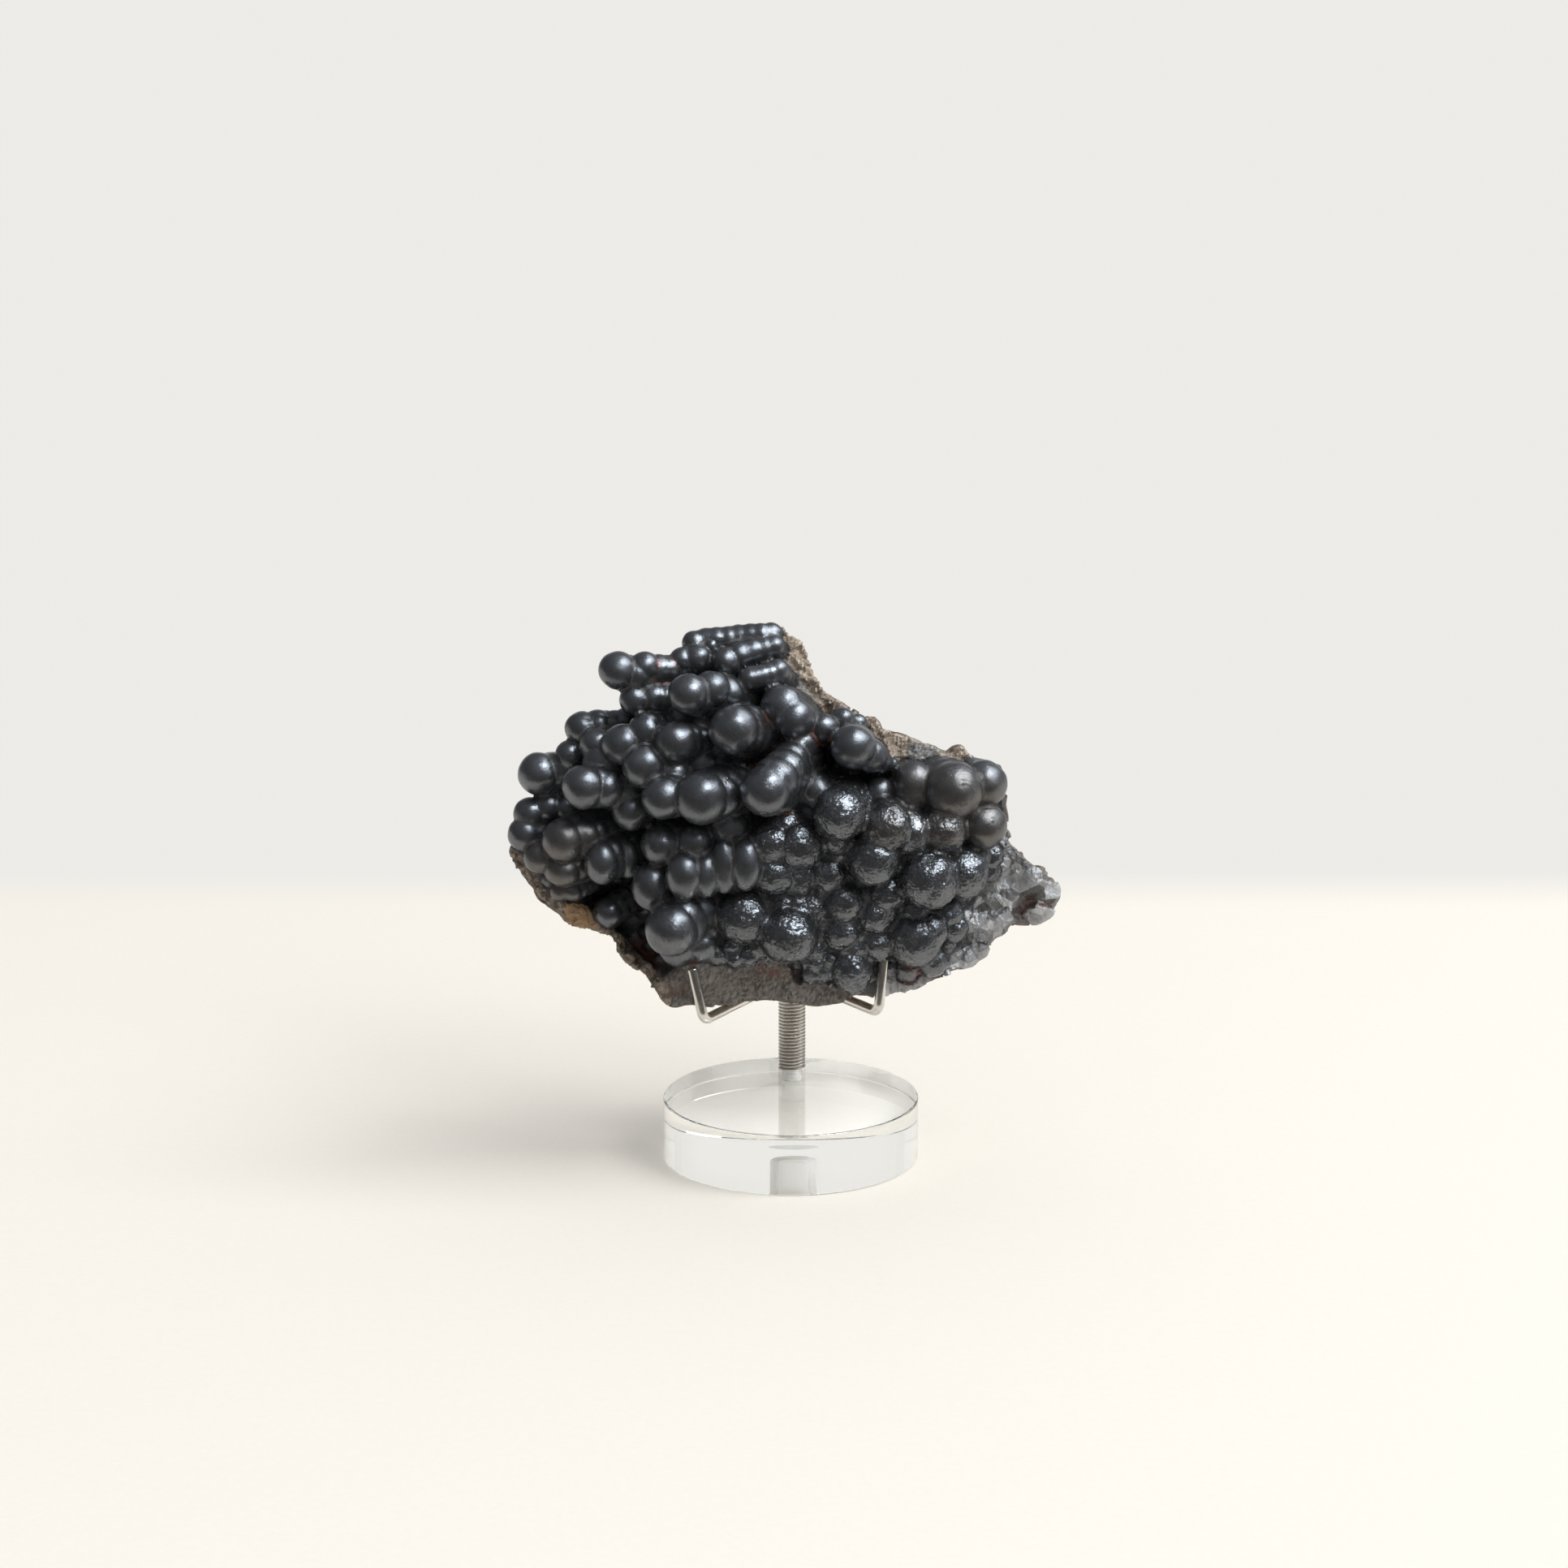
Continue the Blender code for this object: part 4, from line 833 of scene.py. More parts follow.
def make_plate():
    """The plate that the bubbles grow from, with its relief front and its rounded back."""
    rim = np.array(RIM)
    low, high = rim.min(axis=0), rim.max(axis=0)
    steps = np.ceil((high - low) / PLATE_STEP).astype(int)
    plate = bmesh.new()
    bmesh.ops.create_grid(plate, x_segments=int(steps[0]), y_segments=int(steps[1]), size=0.5)
    bmesh.ops.rotate(plate, verts=plate.verts, matrix=Matrix.Rotation(math.pi / 2, 3, "X"))
    bmesh.ops.scale(plate, verts=plate.verts, vec=(high[0] - low[0], 1.0, high[1] - low[1]))
    bmesh.ops.translate(plate, verts=plate.verts,
                        vec=((low[0] + high[0]) / 2, 0.0, (low[1] + high[1]) / 2))
    spots = np.array([(vert.co.x, vert.co.z) for vert in plate.verts])
    away, foot, inside = outline_distance(spots, RIM)
    outside = [vert for vert, keep in zip(plate.verts, inside) if not keep]
    rim_places = {vert: place for vert, place, keep in zip(plate.verts, foot, inside) if keep}
    bmesh.ops.delete(plate, geom=outside, context="VERTS")
    for vert in [vert for vert in plate.verts if vert.is_boundary or not vert.link_faces]:
        vert.co.x, vert.co.z = rim_places[vert]
    bmesh.ops.delete(plate, geom=[vert for vert in plate.verts if not vert.link_faces],
                     context="VERTS")
    front = plate.verts[:]
    made = bmesh.ops.extrude_face_region(plate, geom=plate.faces[:])["geom"]
    back = [part for part in made if isinstance(part, bmesh.types.BMVert)]
    settle(front, back)
    bmesh.ops.recalc_face_normals(plate, faces=plate.faces)
    return plate


def back_surface(spots):
    """Depth of the plate's back: full in the middle, and rounded toward the rim."""
    depths = ground_depths(spots)
    away, _, _ = outline_distance(spots, RIM)
    share = 1.0 - np.clip(away / BACK_ROUNDING, 0.0, 1.0)
    room = np.maximum(back_depth(spots[:, 0], spots[:, 1]) - depths - RIM_WALL, 0.0)
    return depths + RIM_WALL + room * np.sqrt(1.0 - share ** 2)


def settle(front, back):
    """Give the flat plate's front and back points their depths."""
    for verts, is_back in ((front, False), (back, True)):
        spots = np.array([(vert.co.x, vert.co.z) for vert in verts])
        depths = back_surface(spots) if is_back else ground_depths(spots)
        for vert, (x, z), depth in zip(verts, spots, depths):
            vert.co = along_sight(x, z, depth)
            if is_back:
                vert.co.z = max(vert.co.z, UNDERSIDE_LEVEL)


stone = make_plate()
print("plate has", len(stone.verts), "points, open edges:",
      sum(not edge.is_manifold for edge in stone.edges))

# %% Fronts of growth
GROWTH_CENTRE = Vector((22.0, 62.0, 108.0))
FRONT_STEP = 0.68
OLD_FRONTS = 4
FREE_OLD_FRONTS = 3
FRONT_SPREAD = 0.03
CAP_WIDENING = 1.11
BACK_COVER = 1.5
BACK_SLACK = 0.5
Ball = namedtuple("Ball", "bubble middle inward radius tall step")


def full_radius(bubble):
    """A packed bubble shows only its cap, so its sphere is wider than the outline that was read."""
    return bubble.radius * (1.0 if bubble.depth >= FREE_DEPTH else CAP_WIDENING)


def balls_of(number, bubble):
    """The bubble, and the older fronts behind it on the way to the growth centre."""
    middle = along_sight(bubble.x, bubble.z, bubble.depth)
    inward = (GROWTH_CENTRE - middle).normalized()
    free = bubble.depth >= FREE_DEPTH
    spread = 0.0 if free else FRONT_SPREAD
    radius = full_radius(bubble)
    row = [Ball(number, middle + inward * radius * FRONT_STEP * step, inward,
                radius * (1.0 + spread * step), bubble.tall, step)
           for step in range((FREE_OLD_FRONTS if free else OLD_FRONTS) + 1)]
    return [ball for ball in row if ball.step == 0 or is_covered(ball)]


def is_covered(ball):
    """True where the plate's back hides a front, or where the front stands clear of the plate."""
    middle = np.array([ball.middle])
    spots = seen_at(middle)
    away, _, inside = outline_distance(spots, RIM)
    if not inside[0] or away[0] < RIM_WALL:
        return ball.middle.y + ball.radius < back_depth(*spots[0]) - BACK_COVER
    return ball.middle.y + ball.radius < back_surface(spots)[0] + BACK_SLACK


def make_ball(ball):
    """One front as a mesh of its own."""
    grown = bmesh.new()
    stretch = Matrix.Diagonal((1.0, 1.0, ball.tall, 1.0))
    bmesh.ops.create_icosphere(grown, subdivisions=4 if ball.step == 0 else 3, radius=ball.radius,
                               matrix=Matrix.Translation(ball.middle) @ stretch)
    return grown


def poured(part, whole):
    """Add one bmesh to another, and free the first."""
    carrier = bpy.data.meshes.new("carrier")
    part.to_mesh(carrier)
    part.free()
    whole.from_mesh(carrier)
    bpy.data.meshes.remove(carrier)


BALLS = [ball for number, bubble in enumerate(BUBBLES) for ball in balls_of(number, bubble)]
for ball in BALLS:
    poured(make_ball(ball), stone)
print(len(BALLS), "fronts in all")

# %% One skin round all of them
STONE_VOXEL = 0.56
lumps_mesh = bpy.data.meshes.new("stone lumps")
stone.to_mesh(lumps_mesh)
stone.free()
lumps = loose_object("stone lumps", lumps_mesh)
fused = lumps.modifiers.new("fused", "REMESH")
fused.mode = "VOXEL"
fused.voxel_size = STONE_VOXEL
fused.adaptivity = 0.0
skin = evaluated_mesh(lumps)
print("fused skin has", len(skin.vertices), "points")

# %% [markdown]
# ## Back to true spheres
# A voxel skin is a little uneven, and a glossy stone shows it. So each point that lies close to a
# front is put exactly on it. The same pass notes which bubble owns the point, and how far it lies
# from the bubble's pole, which the growth rings need later.

# %% Points onto their bubbles
SNAP_REACH = 0.5


def vertex_numbers(mesh, kind="co"):
    """Places or normals of a mesh's points as an array."""
    numbers = np.empty(len(mesh.vertices) * 3, dtype=np.float32)
    if kind == "co":
        mesh.vertices.foreach_get("co", numbers)
    else:
        mesh.vertex_normals.foreach_get("vector", numbers)
    return numbers.reshape(-1, 3).astype(float)


def move_points(mesh, points):
    """Write an array of places back into the mesh."""
    mesh.vertices.foreach_set("co", points.astype(np.float32).ravel())
    mesh.update()


def edge_pairs(mesh):
    """The two point numbers of each edge."""
    pairs = np.empty(len(mesh.edges) * 2, dtype=np.int32)
    mesh.edges.foreach_get("vertices", pairs)
    return pairs.reshape(-1, 2)


def averaged(values, pairs, rounds=1):
    """Each point's value moved to the mean of its neighbours', a few times."""
    count = np.bincount(pairs.ravel(), minlength=len(values)).astype(float)
    for _ in range(rounds):
        total = np.zeros_like(values)
        for near, far in ((0, 1), (1, 0)):
            for axis in range(values.shape[1]):
                total[:, axis] += np.bincount(pairs[:, near], weights=values[pairs[:, far], axis],
                                              minlength=len(values))
        values = total / np.maximum(count, 1.0)[:, None]
    return values


def owners_of(points, reach):
    """For each point: the bubble that it lies on, the arc from that bubble's pole, and its place
    on the nearest front. Points on no bubble have owner -1."""
    best = np.full(len(points), reach)
    owner = np.full(len(points), -1)
    arc = np.zeros(len(points))
    placed = points.copy()
    for ball in BALLS:
        middle = np.array(ball.middle)
        extent = ball.radius * max(ball.tall, 1.0) + reach
        near = np.flatnonzero((np.abs(points - middle) < extent).all(axis=1))
        stretch = np.array((1.0, 1.0, ball.tall))
        local = (points[near] - middle) / stretch
        away = np.linalg.norm(local, axis=1)
        off = np.abs(away - ball.radius)
        hit = off < best[near]
        chosen = near[hit]
        share = -(local[hit] @ np.array(ball.inward)) / away[hit]
        best[chosen] = off[hit]
        owner[chosen] = ball.bubble
        arc[chosen] = ball.radius * (np.arccos(np.clip(share, -1.0, 1.0)) + FRONT_STEP * ball.step)
        placed[chosen] = middle + local[hit] / away[hit, None] * ball.radius * stretch
    return owner, arc, placed


points = vertex_numbers(skin)
pairs = edge_pairs(skin)
points = points * 0.5 + averaged(points, pairs) * 0.5
owner, arc, placed = owners_of(points, SNAP_REACH)
points = placed
print(round(float((owner >= 0).mean()) * 100), "% of the skin lies on a bubble")

# %% [markdown]
# ## Regions of the surface
# Each break looks different, so the material must know where it is. A soft mask does that: it is 1
# inside an outline, 0 outside, and fades over a millimetre.

# %% Region masks
BACK_START = 0.8
BACK_FADE = 1.2
GROUND_BATCHES = 24


def softened(values):
    """A share from 0 to 1 with smooth ends."""
    share = np.clip(values, 0.0, 1.0)
    return share * share * (3.0 - 2.0 * share)


def region(spots, outline, fade=1.0):
    """A soft mask of the spots inside an outline."""
    low = np.array(outline, dtype=float).min(axis=0) - fade
    high = np.array(outline, dtype=float).max(axis=0) + fade
    mask = np.zeros(len(spots))
    near = np.flatnonzero(((spots > low) & (spots < high)).all(axis=1))
    away, _, inside = outline_distance(spots[near], outline)
    mask[near] = softened(0.5 + np.where(inside, away, -away) / fade)
    return mask


def behind_ground(points, spots):
    """How far each point lies behind the ground's surface, as a share of the rim's wall."""
    depth = np.concatenate([ground_depths(part) for part in np.array_split(spots, GROUND_BATCHES)])
    return softened((points[:, 1] - depth - BACK_START) / BACK_FADE)


def surface_masks(points, owner):
    """The masks of each kind of surface, from where each point is seen."""
    spots = seen_at(points)
    bare = (owner < 0).astype(float)
    back = behind_ground(points, spots) * bare
    front = (1.0 - back) * bare
    crystals = np.maximum(region(spots, RIGHT_CRYSTALS), region(spots, LOWER_RIGHT_BREAK))
    masks = {
        "section": region(spots, SECTION) * front,
        "crystal": crystals * front,
        "matrix": region(spots, UPPER_MATRIX) * front,
        "shale": region(spots, LOWER_LEFT_BREAK) * front,
        "back": back,
    }
    return spots, masks


spots, masks = surface_masks(points, owner)
for name, mask in masks.items():
    print(name, "covers", round(float(mask.mean()) * 100, 1), "%")

# %% [markdown]
# ## Relief by sculpting in code
# Now the skin gets what a photograph of it shows. The bubbles are not perfect spheres. Some carry
# growth rings, which stand like terraces round their poles. The rough ones are covered with small
# swellings, the ends of the fibre bundles. The matrix and the section split along the fibres. The
# fibres fan out from the growth centre, so noise is looked up in "fibre space": the direction from
# that centre, with distance counting very little. There a round cell of noise becomes a long fibre.

# %% Kinds of relief
FIBRE_RADIUS = 60.0
FIBRE_CREEP = 0.10


def fibre_space(points):
    """Points as the fibres see them: direction from the growth centre, and a little distance."""
    ray = points - np.array(GROWTH_CENTRE)
    length = np.linalg.norm(ray, axis=1)[:, None]
    return ray / length * (FIBRE_RADIUS + FIBRE_CREEP * length)


def smooth_noise(points, size, octaves=2):
    """Soft noise between -1 and 1 at each point."""
    return np.array([noise.fractal(Vector(p), 1.0, 2.0, octaves) for p in points / size])


def lumps_of(points, size):
    """Round swellings with creases between them, from 0 in a crease to 1 on top."""
    heights = np.empty(len(points))
    for number, p in enumerate(points / size):
        near, second = noise.voronoi(Vector(p))[0][:2]
        heights[number] = min((second - near) * 1.6, 1.0) ** 0.5 * (1.0 - 0.5 * near)
    return heights


def chips_of(points, size, tilt, step):
    """Broken chips: each cell of a random mosaic is a small plane at its own tilt and level."""
    heights = np.empty(len(points))
    for number, p in enumerate(points / size):
        place = Vector(p)
        cell = noise.voronoi(place)[1][0]
        chance = noise.cell_vector(cell * 7.31)
        heights[number] = (place - cell).dot(chance - Vector((0.5, 0.5, 0.5))) * tilt
        heights[number] += (chance.x - 0.5) * step
    return heights


fibres = fibre_space(points)
print("fibres fan out from", tuple(GROWTH_CENTRE))

# %% Growth relief
SWELL_SIZE, SWELL_HEIGHT = 5.5, 0.22
LUMP_SIZE, LUMP_HEIGHT, LUMP_LEVEL = 1.7, 0.42, 0.6
RING_PITCH, RING_HEIGHT, RING_FLOOR = 1.15, 0.11, -0.4
RING_START, RING_FADE, RING_PATCH = 1.6, 1.5, 9.0
ROUGH_LEFT, ROUGH_GAP_TOP, ROUGH_GROUND_TOP = -24, 107, 108
MASK_FLOOR = 0.02
RING_SEATS = ((-25.4, 110.2), (-20.4, 110.6), (-17.4, 110.9), (-7.0, 112.2), (-4.4, 115.1),
              (-2.0, 117.9), (-0.4, 120.8), (13.8, 105.4), (-13.6, 75.6), (45.8, 112.3),
              (39.2, 86.4), (54.4, 102.2), (-39.4, 84.2), (-34.0, 71.9), (2.3, 96.3),
              (-14.6, 155.8), (-20.7, 155.3), (-18.4, 149.0), (-14.6, 150.7), (-2.5, 136.5))

ring_owner = np.zeros(len(BUBBLES), dtype=bool)
rough_owner = np.zeros(len(BUBBLES), dtype=bool)
for number, bubble in enumerate(BUBBLES):
    ring_owner[number] = (bubble.x, bubble.z) in RING_SEATS
    fills_rough_gap = (bubble in GAP_BUBBLES and bubble.x > ROUGH_LEFT
                       and bubble.z < ROUGH_GAP_TOP)
    rough_owner[number] = bubble in ROUGH or fills_rough_gap
on_bubble = owner >= 0
rough = np.where(on_bubble, rough_owner[owner], 0.0)
rough_ground = ~on_bubble & (masks["back"] < 0.5)
rough_ground &= (spots[:, 0] > ROUGH_LEFT) & (spots[:, 1] < ROUGH_GROUND_TOP)
rough = averaged(np.maximum(rough, rough_ground)[:, None], pairs, 3)[:, 0]
rings = averaged(np.where(on_bubble, ring_owner[owner], 0.0)[:, None], pairs, 3)[:, 0]

height = SWELL_HEIGHT * smooth_noise(points, SWELL_SIZE) * (1.0 + rough)
touched = np.flatnonzero(rough > MASK_FLOOR)
swollen = lumps_of(points[touched], LUMP_SIZE) - LUMP_LEVEL
height[touched] += LUMP_HEIGHT * rough[touched] * swollen
wave = np.clip(np.cos(arc / RING_PITCH * math.tau), RING_FLOOR, 1.0)
ring_patches = softened(0.5 + smooth_noise(points, RING_PATCH) * 2.0)
ring_zone = softened((arc - RING_START) / RING_FADE) * ring_patches
height += RING_HEIGHT * rings * ring_zone * wave
height *= on_bubble | (rough > MASK_FLOOR)
print("growth relief from", round(height.min(), 2), "to", round(height.max(), 2), "mm")

# %% [markdown]
# A hammer leaves chips, and a chip is a small flat at its own tilt. So each cell of a random mosaic
# becomes one plane. In plain space the cells are blocks, as on the grey crystals. In fibre space
# they are splinters, as on the brown matrix and on the section along the bottom.

# %% Chips, from large to small
SPLINTERED = fibres
BLOCKY = points
FLATTENED = points * np.array((1.0, 0.6, 0.6))
CHIPS = (
    ("section", SPLINTERED, 3.0, 0.7, 0.35), ("section", SPLINTERED, 1.2, 0.3, 0.10),
    ("crystal", BLOCKY, 7.0, 3.2, 2.2), ("crystal", FLATTENED, 3.0, 0.7, 0.5),
    ("matrix", SPLINTERED, 2.6, 1.6, 1.0), ("matrix", SPLINTERED, 1.0, 0.7, 0.4),
    ("shale", BLOCKY, 3.4, 1.6, 0.9), ("shale", BLOCKY, 1.3, 0.6, 0.3),
    ("back", BLOCKY, 9.0, 1.6, 1.6), ("back", BLOCKY, 3.2, 0.6, 0.25),
)


def add_chips(height, mask, where, size, tilt, step):
    """Add a mosaic of chips to the height, only where the mask says so."""
    touched = np.flatnonzero(mask > MASK_FLOOR)
    height[touched] += mask[touched] * chips_of(where[touched], size, tilt, step)


for name, where, size, tilt, step in CHIPS:
    add_chips(height, masks[name], where, size, tilt, step)
print("broken relief from", round(height.min(), 2), "to", round(height.max(), 2), "mm")

# %% A tongue of skin, a cavity and a few pockets
TONGUE_RISE, TONGUE_FADE = 1.1, 0.8
CAVITY_DEPTH, CAVITY_FADE = 2.6, 0.9
POCKET_EDGE = 1.3
POCKETS = ((5.5, 142.0, 1.6, 1.8), (10.3, 135.7, 1.3, 2.0), (62.0, 86.3, 1.5, 1.5),
           (66.0, 79.5, 2.4, 1.2), (34.0, 57.6, 2.2, 1.4))

on_front = 1.0 - masks["back"]
tongue = region(spots, SKIN_TONGUE, TONGUE_FADE) * (owner < 0) * on_front
cavity = region(spots, CAVITY, CAVITY_FADE) * on_front
push = CAVITY_DEPTH * cavity - TONGUE_RISE * tongue
for x, z, radius, depth in POCKETS:
    away = np.hypot(spots[:, 0] - x, spots[:, 1] - z)
    push += depth * softened(POCKET_EDGE - away / radius) * on_front * (owner < 0)
print("the deepest pocket is", round(push.max(), 1), "mm")

# %% Put the relief on the skin
HEADROOM = 0.9
WIRE_ROOM = 5.0
WIRE_HEADROOM = 0.1
UNDERSIDE_HEADROOM = 0.2
NEAR_ROUNDS, FAR_ROUNDS = 6, 30


def held_clear(points, height):
    """Keep the relief from growing into the wires and the back from growing past the solid."""
    limit = np.full(len(points), HEADROOM)
    for _, tip in ARMS.values():
        foot = np.array(tip) / MM
        near = np.hypot(points[:, 0] - foot[0], points[:, 1] - foot[1]) < WIRE_ROOM
        near &= points[:, 2] < foot[2] + 3.0
        limit[near] = WIRE_HEADROOM
    limit[points[:, 2] < UNDERSIDE_LEVEL + 1.0] = UNDERSIDE_HEADROOM
    return np.minimum(height, limit)


move_points(skin, points)
normals = vertex_numbers(skin, "normal")
height = held_clear(points, height)
points = points + normals * height[:, None]
points[:, 1] += push
nearly_flat = averaged(points, pairs, NEAR_ROUNDS)
quite_flat = averaged(nearly_flat, pairs, FAR_ROUNDS)
close_dip = ((nearly_flat - points) * normals).sum(axis=1)
far_dip = ((quite_flat - points) * normals).sum(axis=1)
move_points(skin, points)
print("creases dip", round(float(np.percentile(close_dip, 99)), 2), "mm near,",
      round(float(np.percentile(far_dip, 99)), 2), "mm far")

# %% [markdown]
# The masks travel to the material as attributes, one number for each point. Then the skin is
# thinned: a collapse keeps the points where the surface curves and drops them where it is flat, and
# it carries the attributes along.

# %% Attributes
CREASE_FULL = 0.22
HOLLOW_FULL = 1.4
SPOT_EDGE = 1.5
FILM_SPOTS = ((-71, 93, 5), (-64, 98, 6), (-65, 89, 6), (-65, 83, 4), (54.4, 102.2, 7),
              (-58, 99, 4), (34.5, 112, 7), (46, 112, 8), (54, 109, 8), (27.4, 101.4, 5),
              (42.8, 100.8, 6))
RED_SPOTS = ((-35, 147, 4), (-8.6, 131.5, 3), (-1.5, 106.5, 1.6), (-46.5, 64, 1.6), (-40, 66, 5),
             (-28, 61.5, 1.2), (-9, 123, 4), (33.8, 57.8, 3.4), (70, 77, 4.5), (8, 127, 3),
             (-8.5, 59, 1.7), (-5.5, 59, 1.8), (-2.5, 59, 1.8), (0, 58.5, 1.4), (-33, 55, 2.5))


def spots_mask(spots, rows):
    """A soft mask round each of several readings of x, z and radius."""
    mask = np.zeros(len(spots))
    for x, z, radius in rows:
        away = np.hypot(spots[:, 0] - x, spots[:, 1] - z)
        mask = np.maximum(mask, softened(SPOT_EDGE - away / radius))
    return mask


def give_attribute(mesh, name, values):
    """Store one number for each point under a name."""
    layer = mesh.attributes.new(name, "FLOAT", "POINT")
    layer.data.foreach_set("value", values.astype(np.float32))


ATTRIBUTES = {
    "rough": rough * on_front,
    "film": spots_mask(spots, FILM_SPOTS) * on_bubble,
    "red": spots_mask(spots, RED_SPOTS) * on_front,
    **masks,
    "banded": np.maximum(region(spots, BANDED_EDGE), region(spots, COLUMNS)),
    "ochre": region(spots, OCHRE_FACE) * (owner < 0),
    "crease": softened(close_dip / CREASE_FULL),
    "hollow": softened(far_dip / HOLLOW_FULL),
}
for name, values in ATTRIBUTES.items():
    give_attribute(skin, name, values)
print("attributes:", ", ".join(ATTRIBUTES))

# %% A thinner skin, in one body
TRIANGLE_BUDGET = 196000
CREASE_ANGLE = 42.0
CHIPPED = ("crystal", "matrix", "shale", "back")


def thinned(mesh, budget):
    """Collapse a mesh to a number of triangles."""
    now = sum(len(face.vertices) - 2 for face in mesh.polygons)
    holder = loose_object("thinned", mesh)
    collapse = holder.modifiers.new("thinned", "DECIMATE")
    collapse.ratio = budget / now
    return evaluated_mesh(holder)


def largest_body(mesh):
    """Delete all loose crumbs, keep the biggest connected body, and count the bodies."""
    bm = bmesh.new()
    bm.from_mesh(mesh)
    seen = set()
    bodies = []
    for seed in bm.verts:
        if seed in seen:
            continue
        body, queue = [], [seed]
        seen.add(seed)
        while queue:
            vert = queue.pop()
            body.append(vert)
            for edge in vert.link_edges:
                other = edge.other_vert(vert)
                if other not in seen:
                    seen.add(other)
                    queue.append(other)
        bodies.append(body)
    bodies.sort(key=len)
    crumbs = [vert for body in bodies[:-1] for vert in body]
    bmesh.ops.delete(bm, geom=crumbs, context="VERTS")
    bm.to_mesh(mesh)
    bm.free()
    return len(bodies)


def flat_faces(mesh, names):
    """Shade the faces flat where one of the named attributes is high, and count them."""
    broken = np.zeros(len(mesh.vertices), dtype=np.float32)
    for name in names:
        values = np.empty(len(mesh.vertices), dtype=np.float32)
        mesh.attributes[name].data.foreach_get("value", values)
        broken = np.maximum(broken, values)
    corners = np.empty(len(mesh.loops), dtype=np.int32)
    mesh.loops.foreach_get("vertex_index", corners)
    starts = np.empty(len(mesh.polygons), dtype=np.int32)
    mesh.polygons.foreach_get("loop_start", starts)
    least = np.minimum.reduceat(broken[corners], starts)
    mesh.polygons.foreach_set("use_smooth", least < 0.5)
    mesh.update()
    return int((least >= 0.5).sum())


stone_mesh = thinned(skin, TRIANGLE_BUDGET)
print("the skin keeps", len(stone_mesh.polygons), "faces")
print("bodies found:", largest_body(stone_mesh))
stone_mesh.transform(Matrix.Scale(MM, 4))
stone_mesh.shade_smooth()
stone_mesh.set_sharp_from_angle(angle=math.radians(CREASE_ANGLE))
print("flat broken faces:", flat_faces(stone_mesh, CHIPPED))

# %% [markdown]
# ## The hematite's finish
# Clean hematite is steel grey under its black look: half metal, half mineral. The skin takes a dark
# metallic tone and a middling gloss. The creases get painted shade mixed with dust, the hollows get
# painted shade, and iron red lodges in some creases. On the rough bubbles the bump adds the
# smallest swellings, which are too small for the mesh. The broken faces lose the metal: brown
# matrix, grey-brown fibres, grey crystal.

# %% Patterns on the stone
hematite, tree, shader, place = new_material("hematite")


def mask_of(name):
    """Read one of the stone's attributes."""
    return add_node(tree, "ShaderNodeAttribute", attribute_name=name).outputs["Fac"]


def noise_at(vector, size, detail=3.0, sharp=0.55):
    """Noise whose cells have about the given size in millimetres."""
    return add_node(tree, "ShaderNodeTexNoise", {"Vector": vector, "Scale": 1.0 / (size * MM),
                    "Detail": detail, "Roughness": sharp}).outputs["Fac"]


def speckled(pattern, low, high, dark, light, most=1.0):
    """Two tones mixed by a pattern, which is stretched between two of its values."""
    return mixed(tree, remapped(tree, pattern, low, high, 0.0, most), dark, light)


def added(first, share, value):
    """A value with a share of another one on top."""
    return add_node(tree, "ShaderNodeMath", {0: first, 1: share, 2: value},
                    operation="MULTIPLY_ADD").outputs[0]


ray = add_node(tree, "ShaderNodeVectorMath", {0: place, 1: tuple(GROWTH_CENTRE * MM)},
               operation="SUBTRACT").outputs["Vector"]
heading = add_node(tree, "ShaderNodeVectorMath", {0: ray}, operation="NORMALIZE").outputs["Vector"]
length = add_node(tree, "ShaderNodeVectorMath", {0: ray}, operation="LENGTH").outputs["Value"]
reach = added(length, FIBRE_CREEP, FIBRE_RADIUS * MM)
fibre = add_node(tree, "ShaderNodeVectorMath", {0: heading, "Scale": reach},
                 operation="SCALE").outputs["Vector"]
rough_mask, film_mask, red_mask, crease_mask, hollow_mask, crystal_mask = [
    mask_of(name) for name in ("rough", "film", "red", "crease", "hollow", "crystal")]
clouds = noise_at(place, 9.0)
fine = noise_at(place, 0.9, 4.0)
streaks = noise_at(fibre, 0.55, 4.0)
bands = noise_at(fibre, 2.6, 2.0)
print("the masks and the noises are ready")

# %% Tone of the sound skin, with painted shade in its creases and hollows
SKIN_TONES = (0.126, 0.132, 0.142), (0.172, 0.180, 0.195)
FILM_TONE, FILM_SHARE = (0.150, 0.133, 0.119), 0.6
DUST_TONE, DUST_SHARE = (0.105, 0.105, 0.10), 0.4
# The crease and hollow tones are painted shade; the creases also hold some dust.
CREASE_SHADE_TONE, CREASE_SHADE_SHARE, ROUGH_CREASE_SHADE_SHARE = (0.034, 0.031, 0.029), 0.8, 0.35
HOLLOW_SHADE_TONE, HOLLOW_SHADE_SHARE = (0.030, 0.028, 0.027), 0.75
RUST_TONE, RUST_SHARE = (0.125, 0.045, 0.030), 0.8

skin_tone = mixed(tree, clouds, *SKIN_TONES)
skin_tone = mixed(tree, maths(tree, "MULTIPLY", film_mask, FILM_SHARE), skin_tone, FILM_TONE)
dusty = maths(tree, "MULTIPLY", remapped(tree, fine, 0.45, 0.7, 0.0, DUST_SHARE), rough_mask)
skin_tone = mixed(tree, dusty, skin_tone, DUST_TONE)
